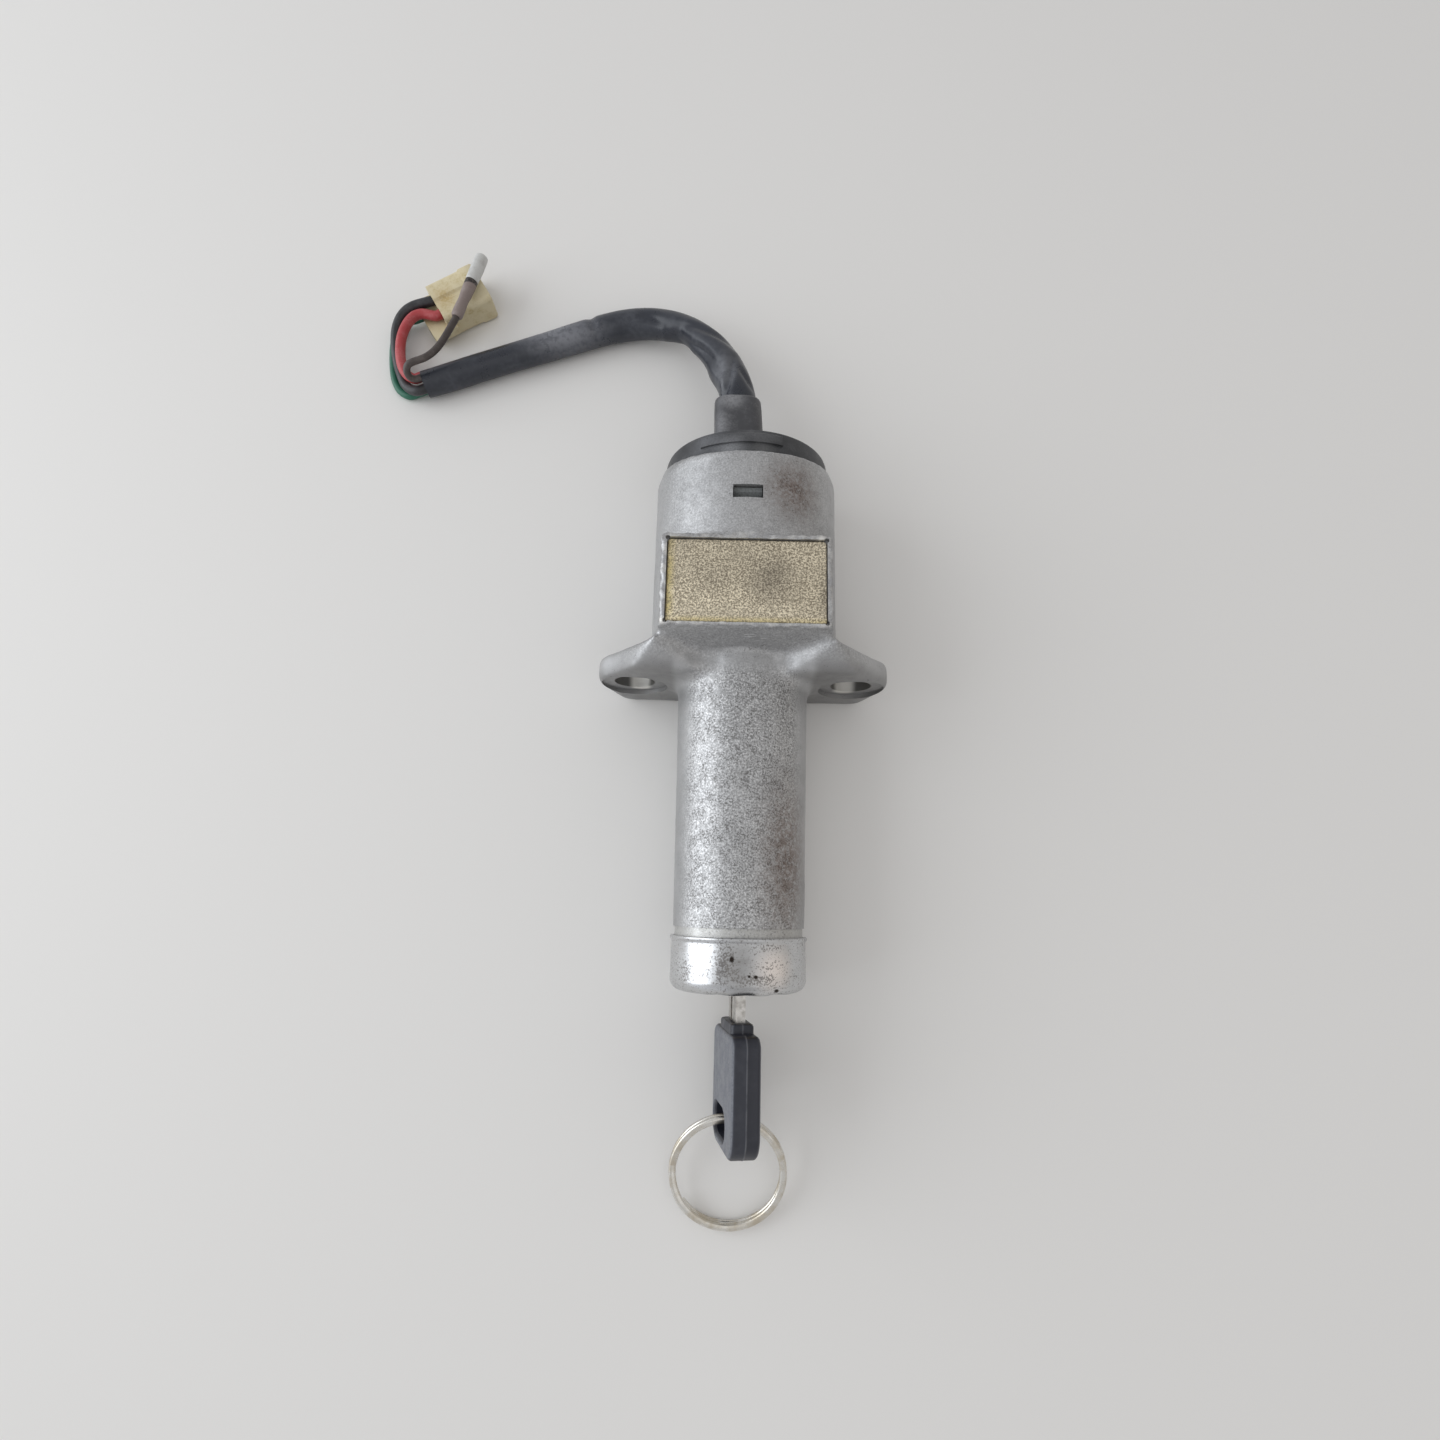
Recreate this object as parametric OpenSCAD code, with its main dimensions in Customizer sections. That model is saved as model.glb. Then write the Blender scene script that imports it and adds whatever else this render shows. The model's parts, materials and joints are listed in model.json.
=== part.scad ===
// Motorcycle ignition switch with steering lock, key, ring and cable.
// The lock's axis is Y with the key at -Y, the cover plate faces +Z and the origin is the
// middle of the two bolt pads. Sizes are in millimetres.

/* [Mounting flange] */
// Distance between the two bolt holes
hole_spacing = 49; // [47:0.5:54]
// Diameter of the bolt holes
hole_d = 9; // [6:0.5:10]
// Diameter of the machined pad round each bolt hole
pad_d = 14.8; // [12:0.2:16]
// Depth of the pads below the cast front face
pad_depth = 1; // [0.4:0.1:1.6]
// Thickness of the ears behind the pads
ear_t = 5; // [4:0.5:6]
// Radius of the ear tips
ear_r = 8; // [7:0.25:10]
// Width of the flange along its flat lower edge
foot_w = 59; // [50:1:64]
// Radius of the flange's lower corners
foot_r = 3; // [1:0.5:4]

/* [Barrel] */
// Length of the barrel from the flange to the neck behind the cap
barrel_len = 52.5; // [45:0.5:65]
// Diameter of the barrel at the flange
barrel_root_d = 29; // [28:0.25:31]
// Diameter of the barrel at the neck
barrel_front_d = 27.9; // [27:0.1:28.5]
// Fillet between the barrel and the flange
root_fillet = 2.2; // [1:0.2:3]
// Diameter of the barrel's bore
bore_d = 21; // [20:0.25:22]
// Visible length of the neck behind the cap
neck_gap = 1.8; // [1:0.2:4]

/* [Barrel cap] */
// Length of the cap
cap_len = 11; // [8:0.5:14]
// Diameter of the cap
cap_d = 28.5; // [28:0.1:29]
// Sheet thickness of the cap
cap_t = 0.7; // [0.5:0.05:0.9]
// Radius of the cap's front edge
cap_edge_r = 2.4; // [1.5:0.1:3]
// Diameter of the opening in the cap's face
cap_hole_d = 16; // [13:0.5:17.5]

/* [Body] */
// Diameter of the round body
body_d = 42; // [41:0.5:44]
// Distance from the pads to the start of the rear taper
body_len = 46.4; // [46:0.2:50]
// Length of the rear taper
taper_len = 4.4; // [3:0.2:6]
// Diameter of the body's rear end
rear_d = 39; // [38.5:0.25:40]
// Angle of the rim that is cut back towards the top
rear_lean = 12; // [6:1:15]
// Diameter of the switch chamber
chamber_d = 36; // [35:0.25:37]
// Wall under the switch chamber's flat
floor_wall = 2; // [1.5:0.1:2.5]
// Width of the snap window
window_w = 6.4; // [5:0.2:8]
// Length of the snap window
window_l = 3; // [2.6:0.1:4]
// Distance from the pads to the middle of the snap window
window_y = 36.8; // [36:0.1:38]

/* [Cover block] */
// Width of the cover plate
plate_w = 33.2; // [30:0.2:34]
// Length of the cover plate along the lock
plate_l = 18.2; // [16:0.2:19]
// Thickness of the cover plate
plate_t = 1.5; // [1:0.1:2]
// Corner radius of the cover plate
plate_r = 1.2; // [0.5:0.1:3]
// Width of the peened lip behind and beside the plate
lip_w = 1.2; // [0.8:0.1:1.6]
// Width of the peened lip in front of the plate
front_lip_w = 0.6; // [0.4:0.1:1.4]
// Height of the lip above the plate
lip_h = 0.5; // [0.2:0.1:1]
// Height of the block's top above the lock's axis
block_top = 21.3; // [20.5:0.1:23]
// Distance from the pads to the block's front edge
block_y = 6.8; // [6:0.2:8]
// Slope of the block's front face
front_slope = 67; // [55:1:80]
// Slope of the bevel along the top of the ears
ear_slope = 45; // [35:1:55]

/* [Steering lock bolt] */
// Diameter of the bolt's nose
nose_d = 9; // [7:0.5:10]
// Width of the bolt's slider
bolt_w = 21; // [19:0.5:24]
// Throw of the crank pin from the lock's axis
crank_throw = 6; // [5:0.1:6.2]
// Diameter of the crank pin
crank_pin_d = 4; // [3:0.25:4.4]
// Diameter of the crank's webs
web_d = 17.4; // [17:0.1:17.8]
// Thickness of the crank's webs
web_t = 3; // [2.5:0.1:3.2]
// Height of the slider above the lock's axis
bolt_top = 8; // [7:0.25:9]

/* [Lock cylinder] */
// Diameter of the plug
plug_d = 14; // [13.5:0.1:14.5]
// Number of wafer tumblers
wafer_count = 7; // [5:1:8]
// Distance between wafers
wafer_pitch = 3.6; // [3:0.1:3.8]
// Thickness of a wafer
wafer_t = 1.4; // [1:0.1:1.6]
// Width of a wafer
wafer_w = 8.6; // [8:0.1:9]
// Turn of the key from upright as it rests
key_lean = 10; // [0:1:20]

/* [Switch] */
// Diameter of the switch rotor
rotor_d = 24; // [22:0.25:24.2]
// Thickness of the switch rotor
rotor_t = 6; // [5.5:0.1:6.2]
// Radius at which contacts and contact springs sit
contact_r = 7.5; // [7:0.1:7.8]
// Diameter of the contact rivets' heads
rivet_head_d = 3.6; // [3:0.1:4]
// Diameter of the contact rivets' shanks
rivet_d = 2.4; // [1.6:0.1:2.6]
// Diameter of the detent ball
ball_d = 2.4; // [2:0.1:2.6]

/* [Rear cover and boot] */
// Diameter of the contact base's rim and the rear cover
cover_d = 38.2; // [37.5:0.1:39]
// Depth of the rear cover's front face inside the body's rear end
cover_sink = 1.5; // [0.8:0.1:2.2]
// Thickness of the rear cover
cover_t = 3.5; // [3.1:0.1:5]
// Sideways place of the cable boot
boot_x = -2; // [-4:0.5:4]
// Width and height of the cable boot
boot_w = 11.8; // [11:0.2:14]
// Length of the cable boot
boot_len = 16; // [12:0.5:24]

/* [Key] */
// Thickness of the blade
blade_t = 2; // [1.6:0.1:2.2]
// Width of the blade
blade_w = 7.6; // [7:0.1:8]
// Length of the blade in front of the head
blade_len = 39; // [34:0.5:41]
// Bare blade between the cap and the head
blade_gap = 6; // [3:0.5:10]
// Length of the head
head_l = 23; // [21:0.5:30]
// Width of the head
head_w = 22; // [21:0.5:26]
// Thickness of the head
head_t = 5.8; // [5:0.1:7]
// Length of the stepped collar between the head and the blade
collar_l = 1.8; // [1:0.2:4]

/* [Key ring] */
// Outer diameter of the split ring
ring_d = 25; // [24:0.5:28]
// Radial width of the ring's wire
ring_w = 1.5; // [1.2:0.1:1.7]
// Height of the ring's two coils
ring_h = 2.2; // [1.6:0.1:2.4]

/* [Connector] */
// Length of the connector
plug_l = 18.3; // [16:0.1:22]
// Width of the connector
plug_w = 13; // [11:0.25:14]
// Height of the connector
plug_h = 8; // [7.6:0.1:9]

/* [Fits] */
// Gap between pieces that are pressed or moulded together
fit = 0.02; // [0.01:0.01:0.05]
// Radial gap of turning pieces
run_clear = 0.08; // [0.05:0.01:0.1]
// Gap beside sliding pieces
slide_clear = 0.2; // [0.15:0.05:0.3]
// End gap of turning pieces
end_gap = 0.4; // [0.3:0.05:0.5]

/* [Hidden] */
$fn = 72;
hull_fn = 32;
far = 100;
// Overrun of cuts past the faces that they open
over = 1;

// Stations along the lock, from the key side to the cable
face_y = -pad_depth;
neck_y = face_y - barrel_len;
cap_rim_y = neck_y - neck_gap;
cap_front_y = cap_rim_y - cap_len;
nose_y = cap_front_y + cap_t;
plug_front_y = nose_y + slide_clear;
plug_head_t = 1.6;
sleeve_front_y = plug_front_y + plug_head_t + slide_clear;
sleeve_end_y = 2;
block_l = plate_l + lip_w + front_lip_w;
block_w = plate_w + 2 * lip_w;
plate_y = block_y + front_lip_w + plate_l / 2;
bolt_t = nose_d;
bolt_y = plate_y;
web_front_y = bolt_y - bolt_t / 2 - end_gap - web_t;
web_rear_y = bolt_y + bolt_t / 2 + end_gap;
chamber_y = web_rear_y + web_t + end_gap;
rotor_y = chamber_y + 2 * end_gap;
rotor_end_y = rotor_y + rotor_t;
bridge_t = 1;
bridge_y = rotor_end_y + end_gap;
rivet_head_t = 0.6;
base_y = bridge_y + bridge_t + slide_clear + rivet_head_t;
taper_y = body_len;
rear_y = taper_y + taper_len;
cover_y = rear_y - cover_sink;
cover_end = cover_y + cover_t;

// Radii and heights
barrel_r = barrel_root_d / 2;
bore_r = bore_d / 2;
neck_r = cap_d / 2 - cap_t - fit;
cap_inner_edge = cap_edge_r - cap_t;
body_r = body_d / 2;
underside = barrel_r;
chamber_r = chamber_d / 2;
chamber_flat = underside - floor_wall;
plug_r = plug_d / 2;
plug_head_lip = 2.5;
plug_head_r = plug_r + plug_head_lip;
web_r = web_d / 2;
web_clear = 0.3;
web_bore_r = web_r + web_clear;
cover_r = cover_d / 2;
plate_top = block_top - lip_h;
plate_under = plate_top - plate_t;
hole_x = hole_spacing / 2;
shoulder_out = 0.7;
saddle_rise = 0.4;
saddle_side_drop = 1.9;
bevel_drop = 1;
shoulder_drop = 1.2;
shoulder_x = block_w / 2 + shoulder_out;
shoulder_z = block_top - shoulder_drop;
saddle_x = barrel_r / 2;
saddle_z = barrel_r + saddle_rise;

// Crank and bolt
turn_limit = 60;
bolt_travel = crank_throw * sin(turn_limit);
sine_slack = 0.42;
slot_half = crank_pin_d / 2 + sine_slack + slide_clear;
slot_land = 1.9;
bolt_bottom = -(slot_half + slot_land);
shaft_floor = bolt_bottom - bolt_travel - end_gap;
nose_inset = 0.3;
nose_end = nose_inset - underside;
spring_pocket_d = 8;
spring_pocket_h = 3;
bolt_spring_wire = 0.9;
bolt_spring_r = 3;
bolt_spring_turns = 6;
tongue_t = 3;
tongue_w = 9;
crank_shaft_r = 4;
crank_square = 5;

// Cylinder details
keyway_t = blade_t + 2 * slide_clear;
keyway_w = blade_w + 2 * slide_clear;
blade_tip_y = cap_front_y - blade_gap + blade_len;
wafer_lead = 2.5;
wafer_y0 = sleeve_front_y + wafer_lead;
wafer_sink = 0.1;
wafer_r = plug_r - wafer_sink;
wafer_window_t = keyway_t + 2 * slide_clear;
wafer_window_w = keyway_w + 2 * slide_clear;
wafer_notch_w = 1.7;
wafer_notch_h = 3.4;
wafer_spring_wire = 0.24;
wafer_spring_turns = 4;
sleeve_wall = 1.5;
clip_t = 1;
clip_depth = 1;
clip_groove_r = plug_r - clip_depth;
clip_r = web_bore_r - end_gap;
clip_mouth_w = 1.6 * clip_groove_r;
plug_end_y = sleeve_end_y + slide_clear + 2 * clip_t + slide_clear;
tongue_floor = 0.6;
tongue_end_y = web_front_y + web_t - tongue_floor;

// Switch details
ball_r = ball_d / 2;
ball_ring_land = 1.4;
ball_ring_r = web_bore_r + ball_ring_land;
ball_lift = 0.06;
ball_y = chamber_y + ball_lift + ball_r;
dimple_depth = 0.24;
ball_pocket_depth = 3.6;
ball_pocket_y = rotor_y + ball_pocket_depth;
detent_wire = 0.3;
detent_turns = 3;
spring_pocket_r = 1.7;
contact_pocket_depth = 4;
contact_pocket_y = rotor_end_y - contact_pocket_depth;
contact_wire = 0.4;
contact_turns = 4;
spring_play = 0.4;
rotor_lug_t = 1.2;
rotor_lug_w = 3;
rotor_lug_r = rotor_d / 2 - rotor_lug_t;
bridge_r = rotor_lug_r - rotor_lug_t / 2 - end_gap;
rivet_angles = [45, 135, 225, 315];
spring_angles = [30, 150, 270];
base_recess_depth = 7.2;
base_recess_y = cover_y - base_recess_depth;
rivet_tail = 3.5;
rivet_end_y = base_recess_y + rivet_tail;
base_recess_r = 10.6;
tab_sink = 1.2;
tab_land = 1;
base_r = chamber_r - fit;
base_flat = chamber_flat - fit;

// Boot, cover and sleeve
sleeve_d = 7.4;
boot_clear = 0.1;
boot_wall = 1;
boot_flange_lip = 1.6;
boot_bore_r = sleeve_d / 2 + boot_clear;
boot_neck_r = boot_bore_r + boot_wall;
boot_flange_r = boot_neck_r + boot_flange_lip;
boot_end_y = cover_end + boot_len;
boot_corner_r = 3.4;
cover_wall = 1.2;
boot_flange_t = 1.2;
boot_flange_y = cover_end - cover_wall - boot_flange_t - fit;
lug_h = 0.5;
lug_from_x = -10.5;
lug_w = 18;
cover_lift = 0.3;

// Key head and ring
head_y = cap_front_y - blade_gap - collar_l;
head_end_y = head_y - head_l;
head_near_r = 2.5;
head_far_r = 5;
head_edge = 0.9;
collar_w = 12.5;
collar_t = head_t - 1;
collar_r = 1;
tang_l = 8;
tip_l = 3;
tip_half = 0.6;
cut_depths = [0.5, 1.1, 0.7, 0.3, 0.9, 1.2, 0.6, 0.8];
cut_over = 0.1;
groove_w = 1.6;
groove_t = 0.5;
groove_z = 0.9;
slot_w = 6;
slot_l = 13;
slot_wall = 1.8;
slot_floor = 1.5;
slot_y = head_end_y + slot_wall + slot_w / 2;
slot_low_z = slot_floor + slot_w / 2 - head_w / 2;
ring_mean_r = (ring_d - ring_w) / 2;
ring_seam = 0.35;
ring_edge = 0.3;
ring_hang_y = -0.4;
ring_hang_z = -0.3;
ring_pin_y = slot_y + ring_hang_y;
ring_pin_z = slot_low_z + ring_hang_z;
ring_pin_x = ring_pin_z * sin(key_lean);
ring_tilt = asin((ring_pin_z * cos(key_lean) + underside - ring_h / 2) / (2 * ring_mean_r + ring_w / 2));

// Routes of the cable and its wires from the cable's exit, as they lie on the table
sleeve_route = [[0, 5.2, 0], [0, 11.2, 0], [0, 17.2, 0], [-0.8, 22.2, -0.3], [-2.6, 27.7, -1.2],
    [-5, 33.2, -2.6], [-8.5, 38.7, -4.4], [-14, 44.2, -6.6], [-20.5, 47.4, -8.5], [-27.5, 48.6, -9.9],
    [-35, 47.5, -10.5], [-43, 44.8, -10.7], [-51.5, 41.5, -10.7], [-60, 38.4, -10.7], [-68.5, 35.2, -10.7],
    [-76.5, 32, -10.7], [-82.5, 29.7, -10.7]];
black_route = [[-82.07, 28.47, -10.4], [-84.21, 27.65, -10.4], [-86.5, 28.5, -10.9], [-88.3, 30.5, -11.4],
    [-89.6, 33.3, -11.5], [-90.7, 36.4, -11.4], [-91.4, 39.6, -11.1], [-91.8, 42.8, -10.7],
    [-91.7, 45.9, -10.2], [-90.9, 48.7, -9.7], [-89.3, 50.8, -9.2], [-87.2, 52.1, -8.9],
    [-84.9, 52.8, -8.7], [-82.4, 53.7, -8.7], [-80.9, 54.55, -8.7]];
red_route = [[-83.17, 31.37, -9.6], [-85.04, 30.65, -9.6], [-86.9, 31.5, -9.3], [-88.2, 33.4, -9.1],
    [-89, 36, -8.9], [-89.4, 38.9, -8.8], [-89.4, 41.9, -8.7], [-88.9, 44.8, -8.7], [-87.9, 47.3, -8.7],
    [-86.4, 49, -8.7], [-84.4, 49.6, -8.7], [-82.3, 49.2, -8.7], [-80.9, 49, -8.7], [-79.6, 49.7, -8.7],
    [-78.37, 50.47, -8.7]];
green_route = [[-82.6, 29.8, -13.2], [-84.73, 28.98, -13.2], [-87.3, 28.1, -13.4], [-90, 29.5, -13.4],
    [-91.7, 32.4, -13.4], [-92.6, 35.8, -13.4], [-93.1, 39.3, -13.4], [-93.3, 42.8, -13.3],
    [-93, 46, -13.1], [-91.9, 48.6, -12.8], [-90.1, 50, -12.5], [-88, 50.4, -12.3], [-86.1, 51.3, -12.3],
    [-84.8, 52.1, -12.3]];
brown_route = [[-82.61, 29.89, -7.9], [-83.9, 29.4, -7.9], [-84.95, 29.2, -7.2], [-85.45, 29.6, -6.1],
    [-85.4, 30.4, -5.1], [-84.7, 31.2, -4.4], [-83.1, 32, -4.2], [-81, 32.9, -4.2], [-79.2, 34.4, -4.3],
    [-77.8, 36.3, -4.4], [-76.7, 38.5, -4.5], [-75.7, 40.8, -4.5], [-74.8, 43.1, -4.5], [-73.9, 45.4, -4.5],
    [-72.1, 51.6, -4.4], [-70.9, 55.9, -4.3]];
wire_d = 2.6;
green_d = 2;
brown_d = 1.8;
cord_sides = 10;
wire_sides = 8;
wire_entry = 0.3;
lead_r = 0.7;
lead_mouth_r = 1.7;
lead_rise = 0.8;

// Connector and bullet terminal, lying beside the end of the sleeve
plug_place = [-77.1, 54.1];
plug_turn = 32;
cavity_t = 2.8;
cavity_w = 3.6;
cavity_pitch_w = 4.8;
cavity_pitch_h = 3.6;
plug_step = 4.6;
plug_r_edge = 1;
latch_l = 7;
latch_h = 1.2;
latch_w = 3;
terminal_inset = 1.6;
terminal_l = plug_l - plug_step - 2 * terminal_inset;
wired_cavities = [[1, 1], [-1, 1], [1, -1]];
spare_cavity = [-1, -1];
terminal_wall = 0.4;
terminal_back = 1;
bullet_from = [-73.9, 45.4, -4.5];
bullet_axis = unit([3.6, 12.5, 0.2]);
tube_l = 11.2;
tube_d = 3.8;
bullet_sleeve_l = 7.6;
bullet_sleeve_d = 4.2;
bullet_d = 3;
bullet_out = 0.8;
tube_clear = 0.15;

function unit(v) = v / norm(v);
function heading(v) = atan2(v[1], v[0]);
function polar(r, a) = [r * cos(a), r * sin(a)];
// Point where the line from p touches the circle at c, on its right side seen from p
function touch(p, c, r) = c + polar(r, heading(p - c) - acos(r / norm(p - c)));
// Direction from the centres to the outer tangent of two circles
function tangent_turn(c1, r1, c2, r2) = heading(c2 - c1) + acos((r1 - r2) / norm(c2 - c1));
function tangent_at(p, i) = unit(p[min(i + 1, len(p) - 1)] - p[max(i - 1, 0)]);
function ring_at(p, i, r, sides) =
    let (t = tangent_at(p, i), n = unit(cross(t, [0, 0, 1])), b = cross(n, t))
    [for (k = [0 : sides - 1]) p[i] + r * (cos(360 * k / sides) * n + sin(360 * k / sides) * b)];
function helix(r, h, turns, steps) =
    [for (i = [0 : turns * steps]) concat(polar(r, 360 * i / steps), h * i / (turns * steps))];

// Closed tube swept along a list of points
module tube(p, r, sides) {
    points = [for (i = [0 : len(p) - 1]) each ring_at(p, i, r, sides)];
    last = (len(p) - 1) * sides;
    walls = [for (i = [0 : len(p) - 2], k = [0 : sides - 1])
        let (a = i * sides + k, b = i * sides + (k + 1) % sides)
        each [[a, b, b + sides], [a, b + sides, a + sides]]];
    start = [for (k = [sides - 1 : -1 : 0]) k];
    end = [for (k = [0 : sides - 1]) last + k];
    polyhedron(points, concat([start, end], walls));
}
// Coil spring along +Z
module coil(r, wire, h, turns) {
    translate([0, 0, wire / 2]) tube(helix(r, h - wire, turns, 10), wire / 2, 6);
}
// Round bar along Y
module rod(r, y0, y1) {
    translate([0, y0, 0]) rotate([-90, 0, 0]) cylinder(r = r, h = y1 - y0);
}
// Profile of radius and Y, turned about the lock's axis
module turned() {
    rotate([-90, 0, 0]) rotate_extrude() children();
}
// Outline in X and Z, carried from y0 to y1
module slab(y0, y1) {
    translate([0, y1, 0]) rotate([90, 0, 0]) linear_extrude(y1 - y0) children();
}
module along_y(y0) {
    translate([0, y0, 0]) rotate([-90, 0, 0]) children();
}
module leaned() {
    rotate([0, key_lean, 0]) children();
}
module rounded_rect(w, l, r) {
    square([w - 2 * r, l], center = true);
    square([w, l - 2 * r], center = true);
    for (x = [-1, 1], y = [-1, 1])
        translate([x * (w / 2 - r), y * (l / 2 - r)]) circle(r);
}
// Circle with a flat across its lower side
module flat_circle(r, flat) {
    intersection() {
        circle(r);
        translate([-far, -flat]) square([2 * far, far]);
    }
}
module ear_outline() {
    tip = [hole_x, 0];
    foot = [foot_w / 2 - foot_r, foot_r - underside];
    shoulder = [shoulder_x, shoulder_z];
    side = tangent_turn(tip, ear_r, foot, foot_r);
    for (m = [0, 1]) mirror([m, 0]) {
        translate(tip) circle(ear_r);
        translate(foot) circle(foot_r);
        polygon([[0, saddle_z], [saddle_x, saddle_z], [block_w / 2, shoulder_z - saddle_side_drop], shoulder,
            touch(shoulder, tip, ear_r), tip + polar(ear_r, side), foot + polar(foot_r, side),
            [foot[0], -underside], [0, -underside]]);
    }
}
// Block outline: flat top with sides that run down onto the round body
module block_outline() {
    corner = [block_w / 2, block_top];
    low = touch(corner, [0, 0], body_r);
    polygon([[0, 0], low, corner, [-corner[0], corner[1]], [-low[0], low[1]]]);
}
// Half space behind the slanted rear rim
module behind_rim() {
    translate([0, rear_y, 0]) rotate([rear_lean, 0, 0])
        translate([-far / 2, 0, -far / 10]) cube([far, far / 4, far / 2]);
    translate([-far / 2, rear_y, -far / 2]) cube([far, far / 4, far]);
}
// Half space above a slope that rises to the rear through a line at y and z
module above_slope(y, z, slope) {
    translate([0, y, z]) rotate([slope, 0, 0]) translate([-far / 2, -far / 2, 0]) cube([far, far, far / 2]);
}
module body_outside() {
    difference() {
        slab(face_y, ear_t) ear_outline();
        above_slope(face_y, barrel_r - bevel_drop, ear_slope);
    }
    difference() {
        union() {
            slab(face_y, block_y + block_l) block_outline();
            turned() polygon([[0, 0], [body_r, ear_t / 2], [body_r, taper_y], [rear_d / 2, rear_y],
                [0, rear_y]]);
        }
        above_slope(block_y, block_top, front_slope);
    }
    turned() polygon([[0, nose_y], [neck_r - cap_inner_edge, nose_y], [neck_r, nose_y + cap_inner_edge],
        [neck_r, neck_y], [barrel_front_d / 2, neck_y], [barrel_r, face_y], [barrel_r, ear_t], [0, ear_t]]);
    difference() {
        turned() translate([barrel_r, face_y - root_fillet]) difference() {
            translate([-root_fillet / 2, 0]) square([root_fillet * 1.5, root_fillet + pad_depth]);
            translate([root_fillet, 0]) circle(root_fillet);
        }
        above_slope(face_y, barrel_r - bevel_drop, ear_slope);
    }
}
module housing_hollows() {
    rod(bore_r, nose_y - over, sleeve_end_y);
    rod(web_bore_r, sleeve_end_y - over, chamber_y + over);
    slab(chamber_y, rear_y + over) flat_circle(chamber_r, chamber_flat);
    shaft_t = bolt_t + 2 * slide_clear;
    shaft_w = bolt_w + 2 * slide_clear;
    translate([-shaft_w / 2, bolt_y - shaft_t / 2, shaft_floor])
        cube([shaft_w, shaft_t, plate_under - shaft_floor + over]);
    translate([0, bolt_y, -underside - over]) cylinder(d = nose_d + 2 * run_clear, h = underside);
    translate([0, plate_y, plate_under]) linear_extrude(far)
        rounded_rect(plate_w + 2 * fit, plate_l + 2 * fit, plate_r);
    translate([-window_w / 2, window_y - window_l / 2, chamber_r / 2])
        cube([window_w, window_l, body_r]);
    for (s = [-1, 1]) translate([s * hole_x, 0, 0]) {
        rod(hole_d / 2, face_y - over, ear_t + over);
        rod(pad_d / 2, face_y - root_fillet - over, 0);
    }
    for (a = [-turn_limit, 0, turn_limit]) rotate([0, a, 0])
        translate([0, chamber_y + ball_r - dimple_depth, ball_ring_r]) sphere(ball_r);
}
module housing() {
    color([0.62, 0.62, 0.62]) difference() {
        body_outside();
        housing_hollows();
        behind_rim();
        translate([-far / 2, -far / 2, -underside - far]) cube([far, far * 2, far]);
    }
}
// Half section of the cap's outside, or of its inside when drawn smaller by the sheet
module cap_section(inset) {
    r = cap_d / 2 - inset;
    edge = cap_edge_r - inset;
    translate([0, cap_front_y + cap_edge_r]) square([r, cap_len - cap_edge_r]);
    translate([0, cap_front_y + inset]) square([r - edge, cap_len - inset]);
    translate([r - edge, cap_front_y + cap_edge_r]) circle(edge);
}
module barrel_cap() {
    color([0.78, 0.77, 0.74]) turned() difference() {
        cap_section(0);
        cap_section(cap_t);
        translate([0, cap_rim_y - over]) square([cap_d / 2 - cap_t, 2 * over]);
        translate([0, cap_front_y - over]) square([cap_hole_d / 2, cap_len]);
    }
}
module cover_plate() {
    color([0.72, 0.6, 0.3]) translate([0, plate_y, plate_under]) linear_extrude(plate_t)
        rounded_rect(plate_w, plate_l, plate_r);
}
module cylinder_sleeve() {
    color([0.7, 0.65, 0.45]) difference() {
        rod(bore_r - fit, sleeve_front_y, sleeve_end_y);
        rod(plug_r + run_clear, sleeve_front_y - over, sleeve_end_y + over);
        leaned() translate([-wafer_w / 2, wafer_y0 - over, sleeve_wall - bore_r])
            cube([wafer_w, wafer_count * wafer_pitch + over, 2 * (bore_r - sleeve_wall)]);
    }
}
module wafer_places() {
    leaned() for (i = [0 : wafer_count - 1]) translate([0, wafer_y0 + i * wafer_pitch, 0]) children();
}
module lock_plug() {
    color([0.75, 0.68, 0.42]) difference() {
        union() {
            rod(plug_head_r, plug_front_y, plug_front_y + plug_head_t);
            rod(plug_r, plug_front_y, plug_end_y);
            leaned() translate([-tongue_t / 2, plug_end_y - over, -tongue_w / 2])
                cube([tongue_t, tongue_end_y - plug_end_y + over, tongue_w]);
        }
        leaned() translate([-keyway_t / 2, plug_front_y - over, -keyway_w / 2])
            cube([keyway_t, blade_tip_y - plug_front_y + 2 * over, keyway_w]);
        wafer_places() translate([-wafer_w / 2 - slide_clear, -slide_clear / 2, -plug_r])
            cube([wafer_w + 2 * slide_clear, wafer_t + slide_clear, plug_d]);
        along_y(sleeve_end_y + slide_clear) difference() {
            cylinder(r = plug_r + over, h = clip_t + slide_clear);
            translate([0, 0, -over]) cylinder(r = clip_groove_r, h = clip_t + 2 * over + slide_clear);
        }
    }
}
module wafer_outline() {
    difference() {
        intersection() {
            circle(wafer_r);
            square([wafer_w, 2 * wafer_r], center = true);
        }
        square([wafer_window_t, wafer_window_w], center = true);
        translate([wafer_w / 2 - wafer_notch_w, -wafer_notch_h / 2])
            square([wafer_notch_w + over, wafer_notch_h]);
    }
}
module wafer_tumblers() {
    color([0.8, 0.7, 0.4]) wafer_places() slab(0, wafer_t) wafer_outline();
}
module wafer_springs() {
    spring_r = (wafer_notch_w - 2 * slide_clear - wafer_spring_wire) / 2;
    color([0.6, 0.6, 0.62]) wafer_places()
        translate([wafer_w / 2 - wafer_notch_w / 2, wafer_t / 2, -wafer_notch_h / 2])
            coil(min(spring_r, (wafer_t - wafer_spring_wire) / 2), wafer_spring_wire, wafer_notch_h,
                wafer_spring_turns);
}
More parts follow.
